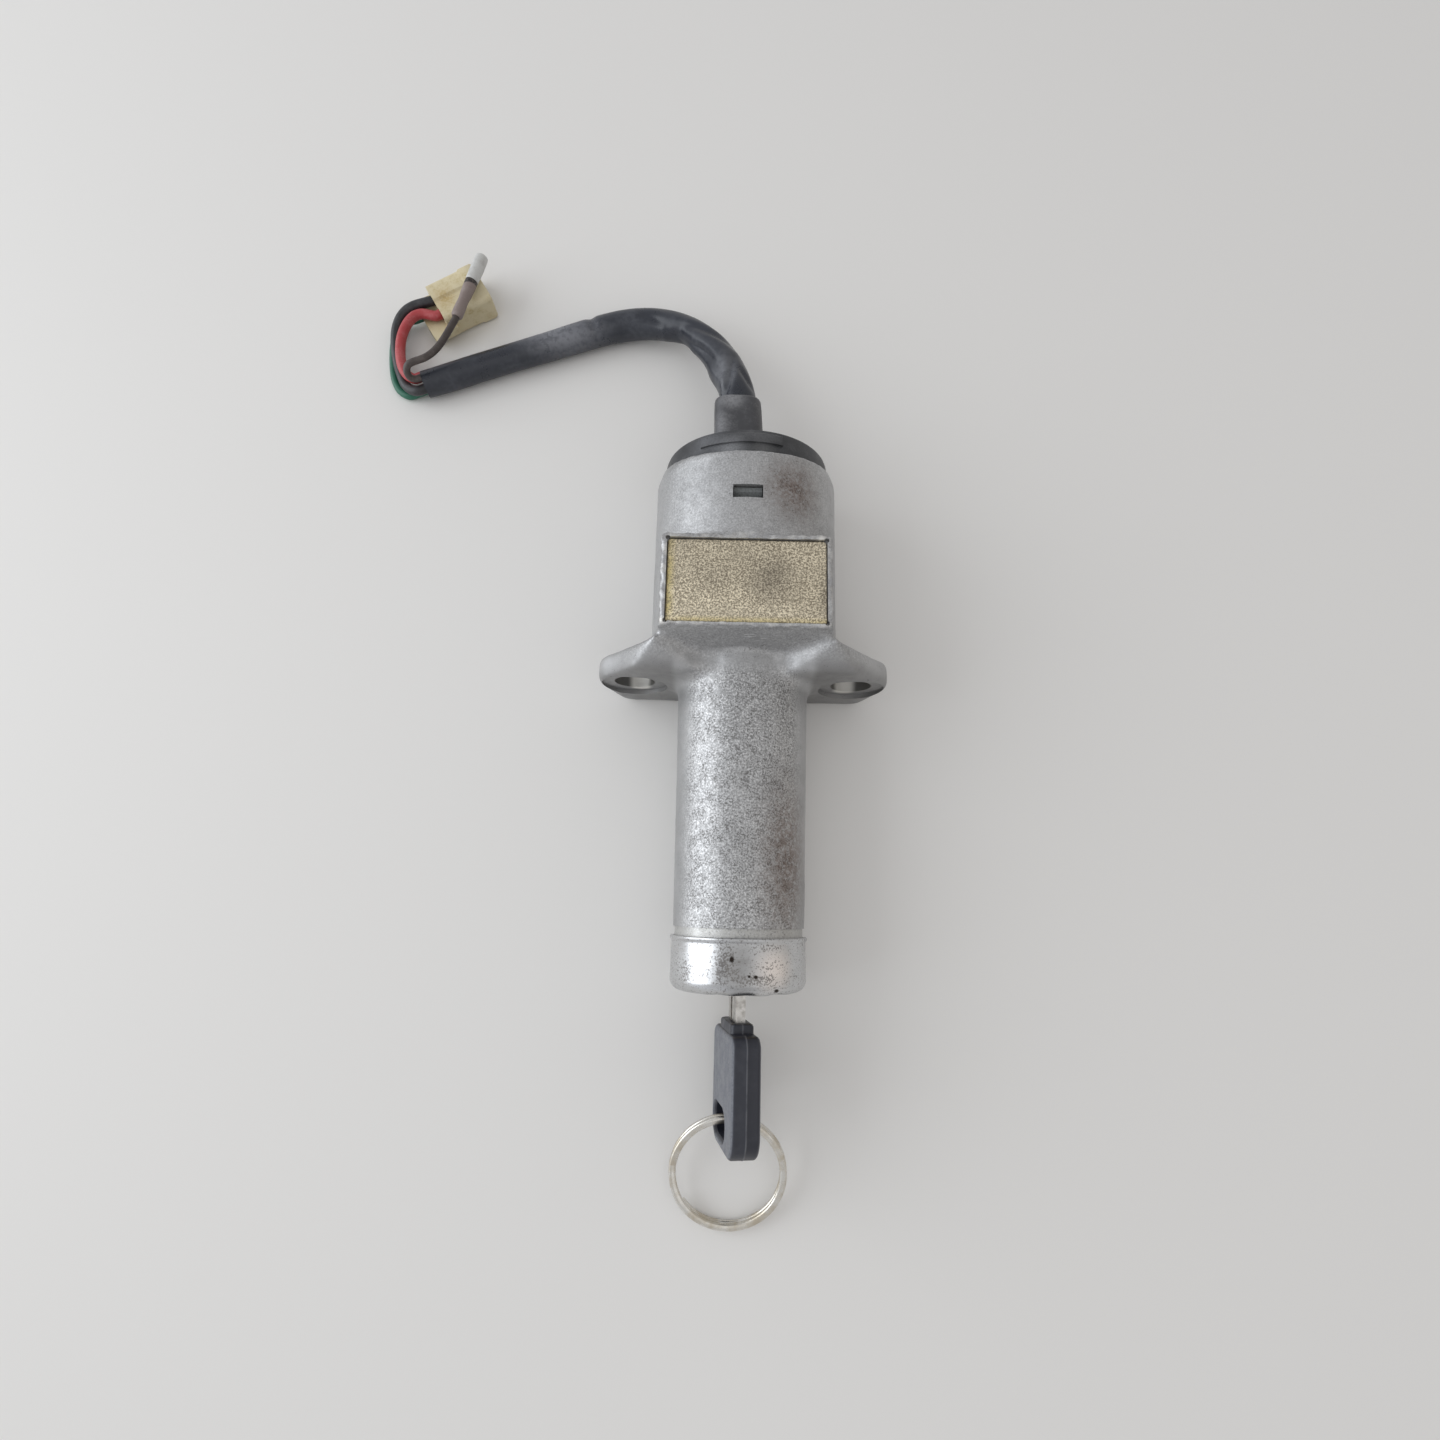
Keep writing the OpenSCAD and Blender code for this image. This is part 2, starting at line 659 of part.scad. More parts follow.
module plug_clip() {
    color([0.45, 0.45, 0.47]) along_y(sleeve_end_y + 1.5 * slide_clear) difference() {
        cylinder(r = clip_r, h = clip_t);
        translate([0, 0, -over]) cylinder(r = clip_groove_r + fit, h = clip_t + 2 * over);
        translate([-clip_mouth_w / 2, 0, -over]) cube([clip_mouth_w, far, clip_t + 2 * over]);
    }
}
module drive_crank() {
    color([0.6, 0.58, 0.54]) difference() {
        union() {
            rod(web_r, web_front_y, web_front_y + web_t);
            rod(web_r, web_rear_y, web_rear_y + web_t);
            translate([-crank_throw, 0, 0])
                rod(crank_pin_d / 2, web_front_y + web_t / 2, web_rear_y + web_t / 2);
            rod(crank_shaft_r, web_rear_y + web_t / 2, rotor_y - end_gap / 2);
            slab(rotor_y - end_gap, rotor_end_y) square(crank_square, center = true);
        }
        leaned() translate([-tongue_t / 2 - fit, web_front_y - over, -tongue_w / 2 - fit])
            cube([tongue_t + 2 * fit, tongue_end_y + fit - web_front_y + over, tongue_w + 2 * fit]);
    }
}
module lock_bolt() {
    color([0.55, 0.55, 0.56]) difference() {
        union() {
            translate([-bolt_w / 2, bolt_y - bolt_t / 2, bolt_bottom])
                cube([bolt_w, bolt_t, bolt_top - bolt_bottom]);
            translate([0, bolt_y, nose_end]) cylinder(d = nose_d, h = bolt_bottom - nose_end + over);
        }
        translate([-crank_throw - slot_half, bolt_y - bolt_t, -slot_half])
            cube([crank_throw / 2 + 2 * slot_half, 2 * bolt_t, 2 * slot_half]);
        translate([0, bolt_y, bolt_top - spring_pocket_h]) cylinder(d = spring_pocket_d, h = far);
    }
}
module bolt_spring() {
    seat = bolt_top - spring_pocket_h;
    color([0.6, 0.6, 0.62]) translate([0, bolt_y, seat + fit])
        coil(bolt_spring_r, bolt_spring_wire, plate_under - seat - 2 * fit, bolt_spring_turns);
}
module at_angles(angles, r) {
    for (a = angles) translate([r * cos(a), 0, r * sin(a)]) children();
}
module switch_rotor() {
    color([0.75, 0.73, 0.68]) difference() {
        union() {
            rod(rotor_d / 2, rotor_y, rotor_end_y);
            for (s = [-1, 1])
                translate([s * rotor_lug_r - rotor_lug_t / 2, rotor_y + over, -rotor_lug_w / 2])
                    cube([rotor_lug_t, bridge_y + bridge_t - rotor_y - over, rotor_lug_w]);
        }
        slab(rotor_y - over, rotor_end_y + over) square(crank_square + 2 * fit, center = true);
        at_angles(spring_angles, contact_r) rod(spring_pocket_r, contact_pocket_y, rotor_end_y + over);
        translate([0, 0, ball_ring_r]) rod(ball_r + fit, rotor_y - over, ball_pocket_y);
    }
}
module contact_bridge() {
    color([0.75, 0.5, 0.3]) difference() {
        rod(bridge_r, bridge_y, bridge_y + bridge_t);
        rod(crank_square, bridge_y - over, bridge_y + bridge_t + over);
    }
}
module contact_springs() {
    color([0.6, 0.6, 0.62]) at_angles(spring_angles, contact_r) along_y(contact_pocket_y)
        coil(spring_pocket_r - spring_play, contact_wire, bridge_y - contact_pocket_y, contact_turns);
}
module detent_ball() {
    color([0.7, 0.7, 0.72]) translate([0, ball_y, ball_ring_r]) sphere(ball_r);
}
module detent_spring() {
    start = ball_y + ball_r;
    color([0.6, 0.6, 0.62]) translate([0, 0, ball_ring_r]) along_y(start)
        coil(ball_r - spring_play, detent_wire, ball_pocket_y - start, detent_turns);
}
module contact_base() {
    tab_t = window_l - 2 * slide_clear;
    tab_w = window_w - 2 * slide_clear;
    tab_top = body_r - tab_sink;
    color([0.16, 0.16, 0.17]) difference() {
        union() {
            slab(base_y, cover_y) flat_circle(base_r, base_flat);
            intersection() {
                rod(cover_r, base_y, cover_y);
                translate([0, fit, 0]) behind_rim();
            }
            translate([-tab_w / 2, window_y - tab_t / 2, 0]) rotate([90, 0, 90]) linear_extrude(tab_w)
                polygon([[0, 0], [tab_t, 0], [tab_t, tab_top], [tab_t - tab_land, tab_top], [0, chamber_r]]);
        }
        slab(base_recess_y, cover_y + over) circle(base_recess_r);
        at_angles(rivet_angles, contact_r) rod(rivet_d / 2 + fit, base_y - over, cover_y);
    }
}
module fixed_contacts() {
    color([0.78, 0.62, 0.3]) at_angles(rivet_angles, contact_r) {
        rod(rivet_head_d / 2, base_y - rivet_head_t, base_y);
        rod(rivet_d / 2, base_y - rivet_head_t / 2, rivet_end_y);
    }
}
module lead_wires() {
    rise_y = rivet_end_y + lead_rise;
    bend_y = boot_flange_y - lead_rise;
    start_y = cover_end + sleeve_route[0][1] - fit;
    color([0.35, 0.2, 0.15]) for (a = rivet_angles) {
        from = polar(contact_r, a);
        to = polar(lead_mouth_r, a) + [boot_x, 0];
        mid = (from + to) / 2;
        tube([[from[0], rivet_end_y + fit, from[1]], [from[0], rise_y, from[1]],
            [mid[0], (rise_y + bend_y) / 2, mid[1]], [to[0], bend_y, to[1]], [to[0], start_y, to[1]]],
            lead_r, wire_sides);
    }
}
module rear_cover() {
    pocket_end = cover_end - cover_wall;
    color([0.14, 0.14, 0.15]) difference() {
        union() {
            intersection() {
                rod(cover_r, cover_y, cover_end);
                translate([0, fit, 0]) behind_rim();
            }
            intersection() {
                rod(cover_r + lug_h, cover_y, cover_end - cover_wall);
                translate([lug_from_x, 0, cover_r / 2]) cube([lug_w, far, far]);
            }
        }
        slab(cover_y - over, pocket_end) circle(base_recess_r);
        translate([boot_x, 0, 0]) rod(boot_neck_r + fit, cover_y, cover_end + over);
        translate([-far / 2, 0, cover_lift - underside - far]) cube([far, far, far]);
    }
}
module cable_boot() {
    color([0.12, 0.12, 0.13]) translate([boot_x, 0, 0]) difference() {
        union() {
            rod(boot_flange_r, boot_flange_y, boot_flange_y + boot_flange_t);
            rod(boot_neck_r, boot_flange_y, cover_end + over);
            slab(cover_end, boot_end_y) rounded_rect(boot_w, boot_w, boot_corner_r);
        }
        rod(boot_bore_r, boot_flange_y - over, boot_end_y + over);
    }
}
module from_exit() {
    translate([boot_x, cover_end, 0]) children();
}
module cable_sleeve() {
    color([0.1, 0.1, 0.13]) from_exit() tube(sleeve_route, sleeve_d / 2, cord_sides);
}
module wire_red() {
    color([0.65, 0.12, 0.12]) from_exit() tube(red_route, wire_d / 2, wire_sides);
}
module wire_black() {
    color([0.1, 0.1, 0.1]) from_exit() tube(black_route, wire_d / 2, wire_sides);
}
module wire_green() {
    color([0.1, 0.4, 0.25]) from_exit() tube(green_route, green_d / 2, wire_sides);
}
module wire_brown() {
    color([0.3, 0.25, 0.24]) from_exit() tube(brown_route, brown_d / 2, wire_sides);
}
module plug_frame() {
    from_exit() translate([plug_place[0], plug_place[1], plug_h / 2 - underside])
        rotate([0, 0, plug_turn]) children();
}
// Each cavity's start, behind the step for the upper row
module cavity_places(cavities) {
    for (p = cavities)
        translate([(p[1] > 0 ? plug_step : 0) - plug_l / 2, p[0] * cavity_pitch_w / 2,
            p[1] * cavity_pitch_h / 2]) children();
}
module connector_housing() {
    color([0.86, 0.82, 0.68]) plug_frame() difference() {
        union() {
            rotate([90, 0, 90]) translate([0, 0, -plug_l / 2]) linear_extrude(plug_l)
                rounded_rect(plug_w, plug_h, plug_r_edge);
            translate([-plug_l / 2, -plug_w / 2 - latch_h, -latch_w / 2])
                cube([latch_l, latch_h + over, latch_w]);
        }
        translate([-plug_l / 2 - over, -plug_w, 0]) cube([plug_step + over, 2 * plug_w, plug_h]);
        cavity_places(concat(wired_cavities, [spare_cavity]))
            translate([terminal_inset, -cavity_w / 2, -cavity_t / 2]) cube([plug_l, cavity_w, cavity_t]);
        cavity_places(wired_cavities) translate([-over, 0, 0]) rotate([0, 90, 0])
            cylinder(d = wire_d + 2 * wire_entry, h = terminal_inset + 2 * over);
    }
}
module connector_terminals() {
    terminal_w = cavity_w - 2 * fit;
    terminal_t = cavity_t - 2 * fit;
    color([0.8, 0.66, 0.35]) plug_frame() cavity_places(wired_cavities)
        translate([terminal_inset + fit, -terminal_w / 2, -terminal_t / 2]) difference() {
            cube([terminal_l, terminal_w, terminal_t]);
            translate([terminal_back, terminal_wall, terminal_wall])
                cube([plug_l, terminal_w - 2 * terminal_wall, terminal_t - 2 * terminal_wall]);
        }
}
module bullet_frame() {
    flat = norm([bullet_axis[0], bullet_axis[1]]);
    from_exit() translate(bullet_from) rotate([0, atan2(flat, bullet_axis[2]), heading(bullet_axis)])
        children();
}
module crimp_tube() {
    color([0.5, 0.45, 0.47]) bullet_frame() difference() {
        cylinder(d = tube_d, h = tube_l);
        translate([0, 0, -over]) cylinder(d = brown_d + 2 * tube_clear, h = tube_l + 2 * over);
    }
}
module bullet_terminal() {
    tip = tube_l + fit + bullet_sleeve_l + bullet_out;
    color([0.75, 0.72, 0.68]) bullet_frame() {
        translate([0, 0, tube_l + fit]) cylinder(d = bullet_d, h = tip - tube_l - fit - bullet_d / 2);
        translate([0, 0, tip - bullet_d / 2]) sphere(d = bullet_d);
    }
}
module bullet_sleeve() {
    color([0.85, 0.85, 0.82, 0.8]) bullet_frame() translate([0, 0, tube_l + fit]) difference() {
        cylinder(d = bullet_sleeve_d, h = bullet_sleeve_l);
        translate([0, 0, -over]) cylinder(d = bullet_d + 2 * fit, h = bullet_sleeve_l + 2 * over);
    }
}
module blade_outline() {
    half = blade_w / 2;
    root_y = head_y + collar_l - tang_l;
    difference() {
        polygon([[root_y, -half], [blade_tip_y - tip_l, -half], [blade_tip_y, -tip_half],
            [blade_tip_y, tip_half], [blade_tip_y - tip_l, half], [root_y, half]]);
        for (i = [0 : wafer_count - 1], s = [-1, 1])
            translate([wafer_y0 + i * wafer_pitch + wafer_t / 2, s * half]) {
                depth = cut_depths[s > 0 ? i : len(cut_depths) - 1 - i];
                polygon([[-wafer_t - depth, cut_over * s], [-wafer_t / 2, -depth * s],
                    [wafer_t / 2, -depth * s], [wafer_t + depth, cut_over * s]]);
            }
    }
}
module key_blade() {
    color([0.72, 0.7, 0.62]) leaned() difference() {
        translate([-blade_t / 2, 0, 0]) rotate([90, 0, 90]) linear_extrude(blade_t) blade_outline();
        for (s = [-1, 1])
            translate([s * blade_t / 2 - groove_t, head_y + collar_l, s * groove_z - groove_w / 2])
                cube([2 * groove_t, far, groove_w]);
    }
}
module head_corner(y, z, r) {
    translate([0, y, z]) rotate([0, 90, 0]) {
        cylinder(r = r, h = head_t - 2 * head_edge, center = true, $fn = hull_fn);
        cylinder(r = r - head_edge, h = head_t, center = true, $fn = hull_fn);
    }
}
module key_head() {
    color([0.12, 0.12, 0.16]) leaned() difference() {
        union() {
            hull() for (s = [-1, 1]) {
                head_corner(head_y - head_near_r, s * (head_w / 2 - head_near_r), head_near_r);
                head_corner(head_end_y + head_far_r, s * (head_w / 2 - head_far_r), head_far_r);
            }
            slab(head_y - over, head_y + collar_l) rounded_rect(collar_t, collar_w, collar_r);
        }
        translate([-blade_t / 2 - fit, head_y - tang_l + collar_l - fit, -blade_w / 2 - fit])
            cube([blade_t + 2 * fit, far, blade_w + 2 * fit]);
        translate([-head_t, slot_y - slot_w / 2, slot_low_z]) cube([2 * head_t, slot_w, slot_l - slot_w]);
        for (z = [slot_low_z, slot_low_z + slot_l - slot_w]) translate([-head_t, slot_y, z])
            rotate([0, 90, 0]) cylinder(d = slot_w, h = 2 * head_t);
    }
}
module key_ring() {
    r0 = ring_mean_r - ring_w / 2;
    r1 = ring_mean_r + ring_w / 2;
    half = ring_h / 2;
    color([0.6, 0.55, 0.42])
        translate([ring_pin_x, ring_pin_y, ring_pin_z * cos(key_lean)]) rotate([ring_tilt, 0, 0])
            translate([0, -ring_mean_r, 0]) rotate_extrude()
                polygon([[r0, ring_edge - half], [r0 + ring_edge, -half], [r1 - ring_edge, -half],
                    [r1, ring_edge - half], [r1, -ring_seam], [r1 - ring_seam, 0], [r1, ring_seam],
                    [r1, half - ring_edge], [r1 - ring_edge, half], [r0 + ring_edge, half],
                    [r0, half - ring_edge], [r0, ring_seam], [r0 + ring_seam, 0], [r0, -ring_seam]]);
}

housing();
barrel_cap();
cover_plate();
cylinder_sleeve();
lock_plug();
wafer_tumblers();
wafer_springs();
plug_clip();
drive_crank();
lock_bolt();
bolt_spring();
switch_rotor();
contact_bridge();
contact_springs();
detent_ball();
detent_spring();
contact_base();
fixed_contacts();
lead_wires();
rear_cover();
cable_boot();
cable_sleeve();
wire_red();
wire_black();
wire_green();
wire_brown();
connector_housing();
connector_terminals();
crimp_tube();
bullet_sleeve();
bullet_terminal();
key_blade();
key_head();
key_ring();
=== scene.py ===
"""Looks of a used motorcycle ignition switch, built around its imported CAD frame."""
import json
import math

import bmesh
import bpy
import numpy as np
from mathutils import Matrix, Vector, noise


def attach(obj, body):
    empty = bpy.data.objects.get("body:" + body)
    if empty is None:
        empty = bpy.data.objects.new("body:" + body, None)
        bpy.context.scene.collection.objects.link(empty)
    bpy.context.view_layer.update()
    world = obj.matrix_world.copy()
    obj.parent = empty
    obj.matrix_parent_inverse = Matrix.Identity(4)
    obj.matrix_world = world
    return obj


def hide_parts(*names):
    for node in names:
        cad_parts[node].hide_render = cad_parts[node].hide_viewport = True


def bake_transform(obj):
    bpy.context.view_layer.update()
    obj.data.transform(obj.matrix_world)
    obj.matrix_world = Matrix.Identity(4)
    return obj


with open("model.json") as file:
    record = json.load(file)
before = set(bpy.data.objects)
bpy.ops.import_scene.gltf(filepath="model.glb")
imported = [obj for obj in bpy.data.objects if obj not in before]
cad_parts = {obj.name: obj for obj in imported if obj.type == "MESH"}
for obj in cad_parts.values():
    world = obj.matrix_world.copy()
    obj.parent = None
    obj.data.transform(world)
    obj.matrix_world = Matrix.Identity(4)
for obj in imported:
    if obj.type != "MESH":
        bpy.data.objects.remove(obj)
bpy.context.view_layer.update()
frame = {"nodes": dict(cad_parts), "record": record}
nodes = frame["nodes"]
scene = bpy.context.scene
MM = 0.001

# Sizes that more than one section uses, in millimetres
UNDERSIDE = -14.5
HOLE_X, HOLE_R = 24.5, 4.5
NECK_R, NECK_Y, NOSE_Y = 13.53, -53.5, -65.6
BLOCK_TOP, BLOCK_END = 21.3, 26.8
PLATE_W, PLATE_L, PLATE_UNDER, PLATE_T, PLATE_Y = 33.2, 18.2, 19.3, 1.5, 16.5
PUNCH = (-1.5, -59.3)
KEY_LEAN, HEAD_T = math.radians(10), 5.8


# Camera, solved from the photograph's perspective
SENSOR, LENS = 36, 20.275
CAMERA_PLACE = (-0.00404, -0.04859, 0.178)
CAMERA_TILT, CAMERA_TURN = math.radians(12.7), math.radians(1.3)
CLIP_NEAR, CLIP_FAR = 0.01, 20


def make_camera():
    data = bpy.data.cameras.new("camera")
    data.sensor_width = SENSOR
    data.lens = LENS
    data.clip_start = CLIP_NEAR
    data.clip_end = CLIP_FAR
    camera = bpy.data.objects.new("camera", data)
    camera.location = CAMERA_PLACE
    camera.rotation_euler = (CAMERA_TILT, 0, CAMERA_TURN)
    scene.collection.objects.link(camera)
    scene.camera = camera


make_camera()


# Node graphs. A material's coordinates are the part's own, in millimetres.
class Graph:
    def __init__(self, owner, coords="Object", scale=1 / MM):
        owner.use_nodes = True
        self.owner = owner
        self.tree = owner.node_tree
        place = self.add("ShaderNodeTexCoord", {})[coords]
        self.place = self.add("ShaderNodeVectorMath", {0: place, "Scale": scale}, operation="SCALE")[0]

    def add(self, kind, inputs, **settings):
        """Adds a node with its settings and inputs, and gives its outputs."""
        node = self.tree.nodes.new(kind)
        for key, value in settings.items():
            setattr(node, key, value)
        for key, value in inputs.items():
            self.put(value, node.inputs[key])
        return node.outputs

    def put(self, value, socket):
        """Links an input to another node's output, or sets its value."""
        if isinstance(value, bpy.types.NodeSocket):
            self.tree.links.new(value, socket)
        else:
            socket.default_value = (*value, 1) if socket.type == "RGBA" else value

    def noise(self, size, detail=3.0, rough=0.55, offset=(0, 0, 0), stretch=(1, 1, 1)):
        mapping = {"Vector": self.place, "Location": offset, "Scale": stretch}
        place = self.add("ShaderNodeMapping", mapping)[0]
        inputs = {"Vector": place, "Scale": 1 / size, "Detail": detail, "Roughness": rough}
        return self.add("ShaderNodeTexNoise", inputs)["Fac"]

    def band(self, value, low, high, to_low=0.0, to_high=1.0):
        """Smooth step of a value between two limits."""
        inputs = {0: value, 1: low, 2: high, 3: to_low, 4: to_high}
        return self.add("ShaderNodeMapRange", inputs, interpolation_type="SMOOTHSTEP")[0]

    def math(self, operation, a, b=0.0):
        return self.add("ShaderNodeMath", {0: a, 1: b}, operation=operation)[0]

    def times(self, a, b):
        return self.math("MULTIPLY", a, b)

    def most(self, a, b):
        return self.math("MAXIMUM", a, b)

    def mix(self, share, a, b):
        return self.add("ShaderNodeMix", {0: share, 6: a, 7: b}, data_type="RGBA")[2]

    def spot(self, centre, radii, soft=0.0):
        """1 in an ellipsoid's middle, falling to 0 at its surface from the share soft of the way out."""
        away = self.add("ShaderNodeVectorMath", {0: self.place, 1: centre}, operation="SUBTRACT")[0]
        part = self.add("ShaderNodeVectorMath", {0: away, 1: radii}, operation="DIVIDE")[0]
        length = self.add("ShaderNodeVectorMath", {0: part}, operation="LENGTH")["Value"]
        return self.band(length, soft, 1.0, 1.0, 0.0)

    def axis(self, name):
        return self.add("ShaderNodeSeparateXYZ", {0: self.place})[name]

    def shader(self, name):
        return self.tree.nodes["Principled BSDF"].inputs[name]

    def bump(self, height, distance, strength):
        inputs = {"Height": height, "Distance": distance * MM, "Strength": strength}
        self.put(self.add("ShaderNodeBump", inputs)[0], self.shader("Normal"))

    def set(self, colour, rough, metal=0.0):
        """Sets the shader's inputs and gives the material."""
        for name, value in (("Base Color", colour), ("Roughness", rough), ("Metallic", metal)):
            self.put(value, self.shader(name))
        return self.owner


def surface(name):
    return Graph(bpy.data.materials.new(name))


# Zinc casting: its tones, then dirt as centre, radii and share, rust and painted glints as centre and radii
ZINC = {
    "dull": (0.39, 0.39, 0.392),
    "pale": (0.48, 0.48, 0.482),
    "spark": (0.80, 0.80, 0.80),
    "pit": (0.17, 0.165, 0.16),
    "rust": (0.235, 0.19, 0.168),
    "soil": (0.15, 0.145, 0.14),
    "brown_soil": (0.12, 0.088, 0.072),
    "shaded": (0.19, 0.185, 0.18),
    "scratch": (0.72, 0.72, 0.72),
    "neck": (0.56, 0.555, 0.53),
    # tone of the painted shade inside the ear holes
    "hole": (0.20, 0.195, 0.185),
    # tone for worn bright metal on the lips, and for painted highlights in the holes and on the block's
    # corners
    "bare_and_highlight": (0.90, 0.88, 0.83),
}
STAINS = (
    ((8, -42, 11), (8, 16, 10), 1.0),
    ((7.5, -25, 12), (6.5, 12, 9), 0.7),
    ((-1, -34, 14), (10, 24, 9), 0.5),
    ((9.5, 38.5, 18), (11, 11, 10), 1.0),
    ((3.6, 41, 20.5), (1.8, 1.8, 3), 1.2),
    ((0, 3.2, 15), (11, 3, 4), 1.0),
    ((17.3, 16, 20), (1.6, 12, 3), 1.0),
    ((-9, -22, 10), (5, 16, 8), 0.3),
)
BARREL_RUST = ((9.5, -40, 10.5), (9.5, 25, 12))
BODY_RUST = ((9.5, 38.5, 18), (11, 11, 10))
# Painted highlights on two corners of the block
GLINTS = (
    ((-17.2, 7.4, 21), (1.6, 1.2, 1.2)),
    ((15.5, 26, 21), (1.6, 1.2, 1.2)),
)
SCRATCHED = ((1, 5.6, 18), (9, 2.4, 3))


def peppered(g, tone, clump, fine, aside):
    """Bright grains and dark pits on the top of the barrel, fewer of them on the body."""
    top = g.times(g.band(aside, 9.5, 13.3, 1, 0.1), g.band(g.axis("Z"), 0, 7))
    barrel = g.times(g.band(g.axis("Y"), -4, 3, 1, 0.12), top)
    body = g.times(g.band(g.axis("Y"), -1, 4, 0, 0.42), g.band(g.axis("Z"), 5, 13))
    where = g.most(barrel, body)
    sparks = g.band(fine, 0.42, 0.66, 0, 0.8)
    pits = g.times(g.band(g.noise(0.36, 4, 0.7), 0.44, 0.6), g.band(clump, 0.32, 0.62, 0.5, 0.95))
    tone = g.mix(g.times(where, sparks), tone, ZINC["spark"])
    return g.mix(g.times(where, pits), tone, ZINC["pit"])


def soiled(g, tone, clump, fine):
    """Clouds of dark specks and brown stains."""
    dirt = g.band(clump, 0.45, 0.75, 0.0, 0.45)
    for centre, radii, share in STAINS:
        cover = g.times(g.spot(centre, radii), g.band(clump, 0.34, 0.62, 0.35 * share, share))
        dirt = g.most(dirt, cover)
    brown = g.most(g.spot(*BARREL_RUST), g.spot(*BODY_RUST))
    mottle = g.band(g.noise(1.0, 5, 0.7, (4, 4, 2)), 0.36, 0.6, 0.2, 0.85)
    tone = g.mix(g.times(brown, mottle), tone, ZINC["rust"])
    speck = g.band(g.math("ADD", fine, g.times(dirt, 0.2)), 0.64, 0.74)
    soil = g.mix(brown, ZINC["soil"], ZINC["brown_soil"])
    return g.mix(g.times(speck, 0.7), tone, soil)


def wear_and_painted_light(g, tone, clump):
    """Painted shade in the ear holes with a painted highlight on their side towards the barrel, worn bright
    metal on the beaten lips, and painted glints on two corners of the block.
    """
    lips = g.times(g.band(g.axis("Z"), BLOCK_TOP - 0.55, BLOCK_TOP - 0.2, 0, 0.35),
                   g.band(g.axis("Y"), BLOCK_END + 0.2, BLOCK_END + 1, 1, 0))
    bright = g.times(lips, g.band(clump, 0.4, 0.62))
    for side in (-1, 1):
        # Painted shade in each ear hole, and a painted highlight on the hole's side towards the barrel
        hole = g.spot((side * HOLE_X, 1.5, 0), (HOLE_R + 0.3, 9, HOLE_R + 0.3), 0.96)
        tone = g.mix(hole, tone, ZINC["hole"])
        bright = g.most(bright, g.spot((side * (HOLE_X - 1), 2, -4.2), (3.2, 7, 3), 0.5))
    # Painted glints on two corners of the block
    for centre, radii in GLINTS:
        bright = g.most(bright, g.spot(centre, radii))
    return g.mix(g.times(bright, 0.9), tone, ZINC["bare_and_highlight"])


def zinc_material():
    """Dull die casting with a pale neck behind the cap."""
    g = surface("zinc")
    clump = g.noise(2.3, 4, 0.6)
    fine = g.noise(0.42, 3, 0.6, (7, 3, 1))
    aside = g.math("ABSOLUTE", g.axis("X"))
    tone = g.mix(g.band(g.noise(13, 4), 0.35, 0.68), ZINC["dull"], ZINC["pale"])
    tone = peppered(g, tone, clump, fine, aside)
    tone = soiled(g, tone, clump, fine)
    ears = g.times(g.band(g.axis("Y"), -0.4, 2.6, 0.5, 0), g.band(aside, 14.2, 16))
    tone = g.mix(ears, tone, ZINC["shaded"])
    scratch = g.band(g.noise(0.3, 2, 0.5, (2, 5, 9), (0.08, 1, 1)), 0.58, 0.66)
    tone = g.mix(g.times(scratch, g.spot(*SCRATCHED)), tone, ZINC["scratch"])
    neck = g.band(g.axis("Y"), NECK_Y - 0.06, NECK_Y + 0.02, 1.0, 0.0)
    tone = g.mix(g.times(neck, g.band(fine, 0.4, 0.62, 0.9, 0.3)), tone, ZINC["neck"])
    tone = wear_and_painted_light(g, tone, clump)
    g.bump(g.math("ADD", g.times(fine, 0.8), clump), 0.05, 0.5)
    return g.set(colour=tone, rough=g.band(clump, 0.3, 0.7, 0.44, 0.58), metal=0.88)


# Plated cap: its tones, then dirt as centre, radii and share, pits as centre and radii, then painted
# reflections as centre and radii
PLATING = {
    "plain": (0.60, 0.605, 0.61),
    # The warm and dull tones are painted reflections on the cap
    "warm": (0.95, 0.88, 0.83),
    "dull": (0.235, 0.23, 0.225),
    "speck": (0.17, 0.155, 0.145),
    "pit": (0.035, 0.028, 0.024),
}
CAP_DIRT = (
    ((-3.2, -60.5, 14), (4, 7, 6), 1.0),
    ((-10.5, -62, 9.5), (2.5, 4, 4), 0.9),
    ((3, -63, 13.6), (9, 2, 5), 1.0),
    ((6, -57, 13), (9, 1.4, 5), 0.5),
)
CAP_PITS = (
    ((*PUNCH, 14), (0.6, 0.75, 1.2)),
    ((3.2, -62.5, 13.9), (0.5, 0.45, 1)),
    ((1.9, -62.4, 14), (0.35, 0.35, 1)),
    ((7.4, -65.2, 11), (0.6, 0.5, 1.6)),
)
# Painted reflections: warm and pale on the right, dark along the top
CAP_WARM_REFLECTION = ((6.5, -61, 12), (6, 6, 7))
CAP_DARK_REFLECTION = ((0, -61, 14.4), (6.5, 11, 7))


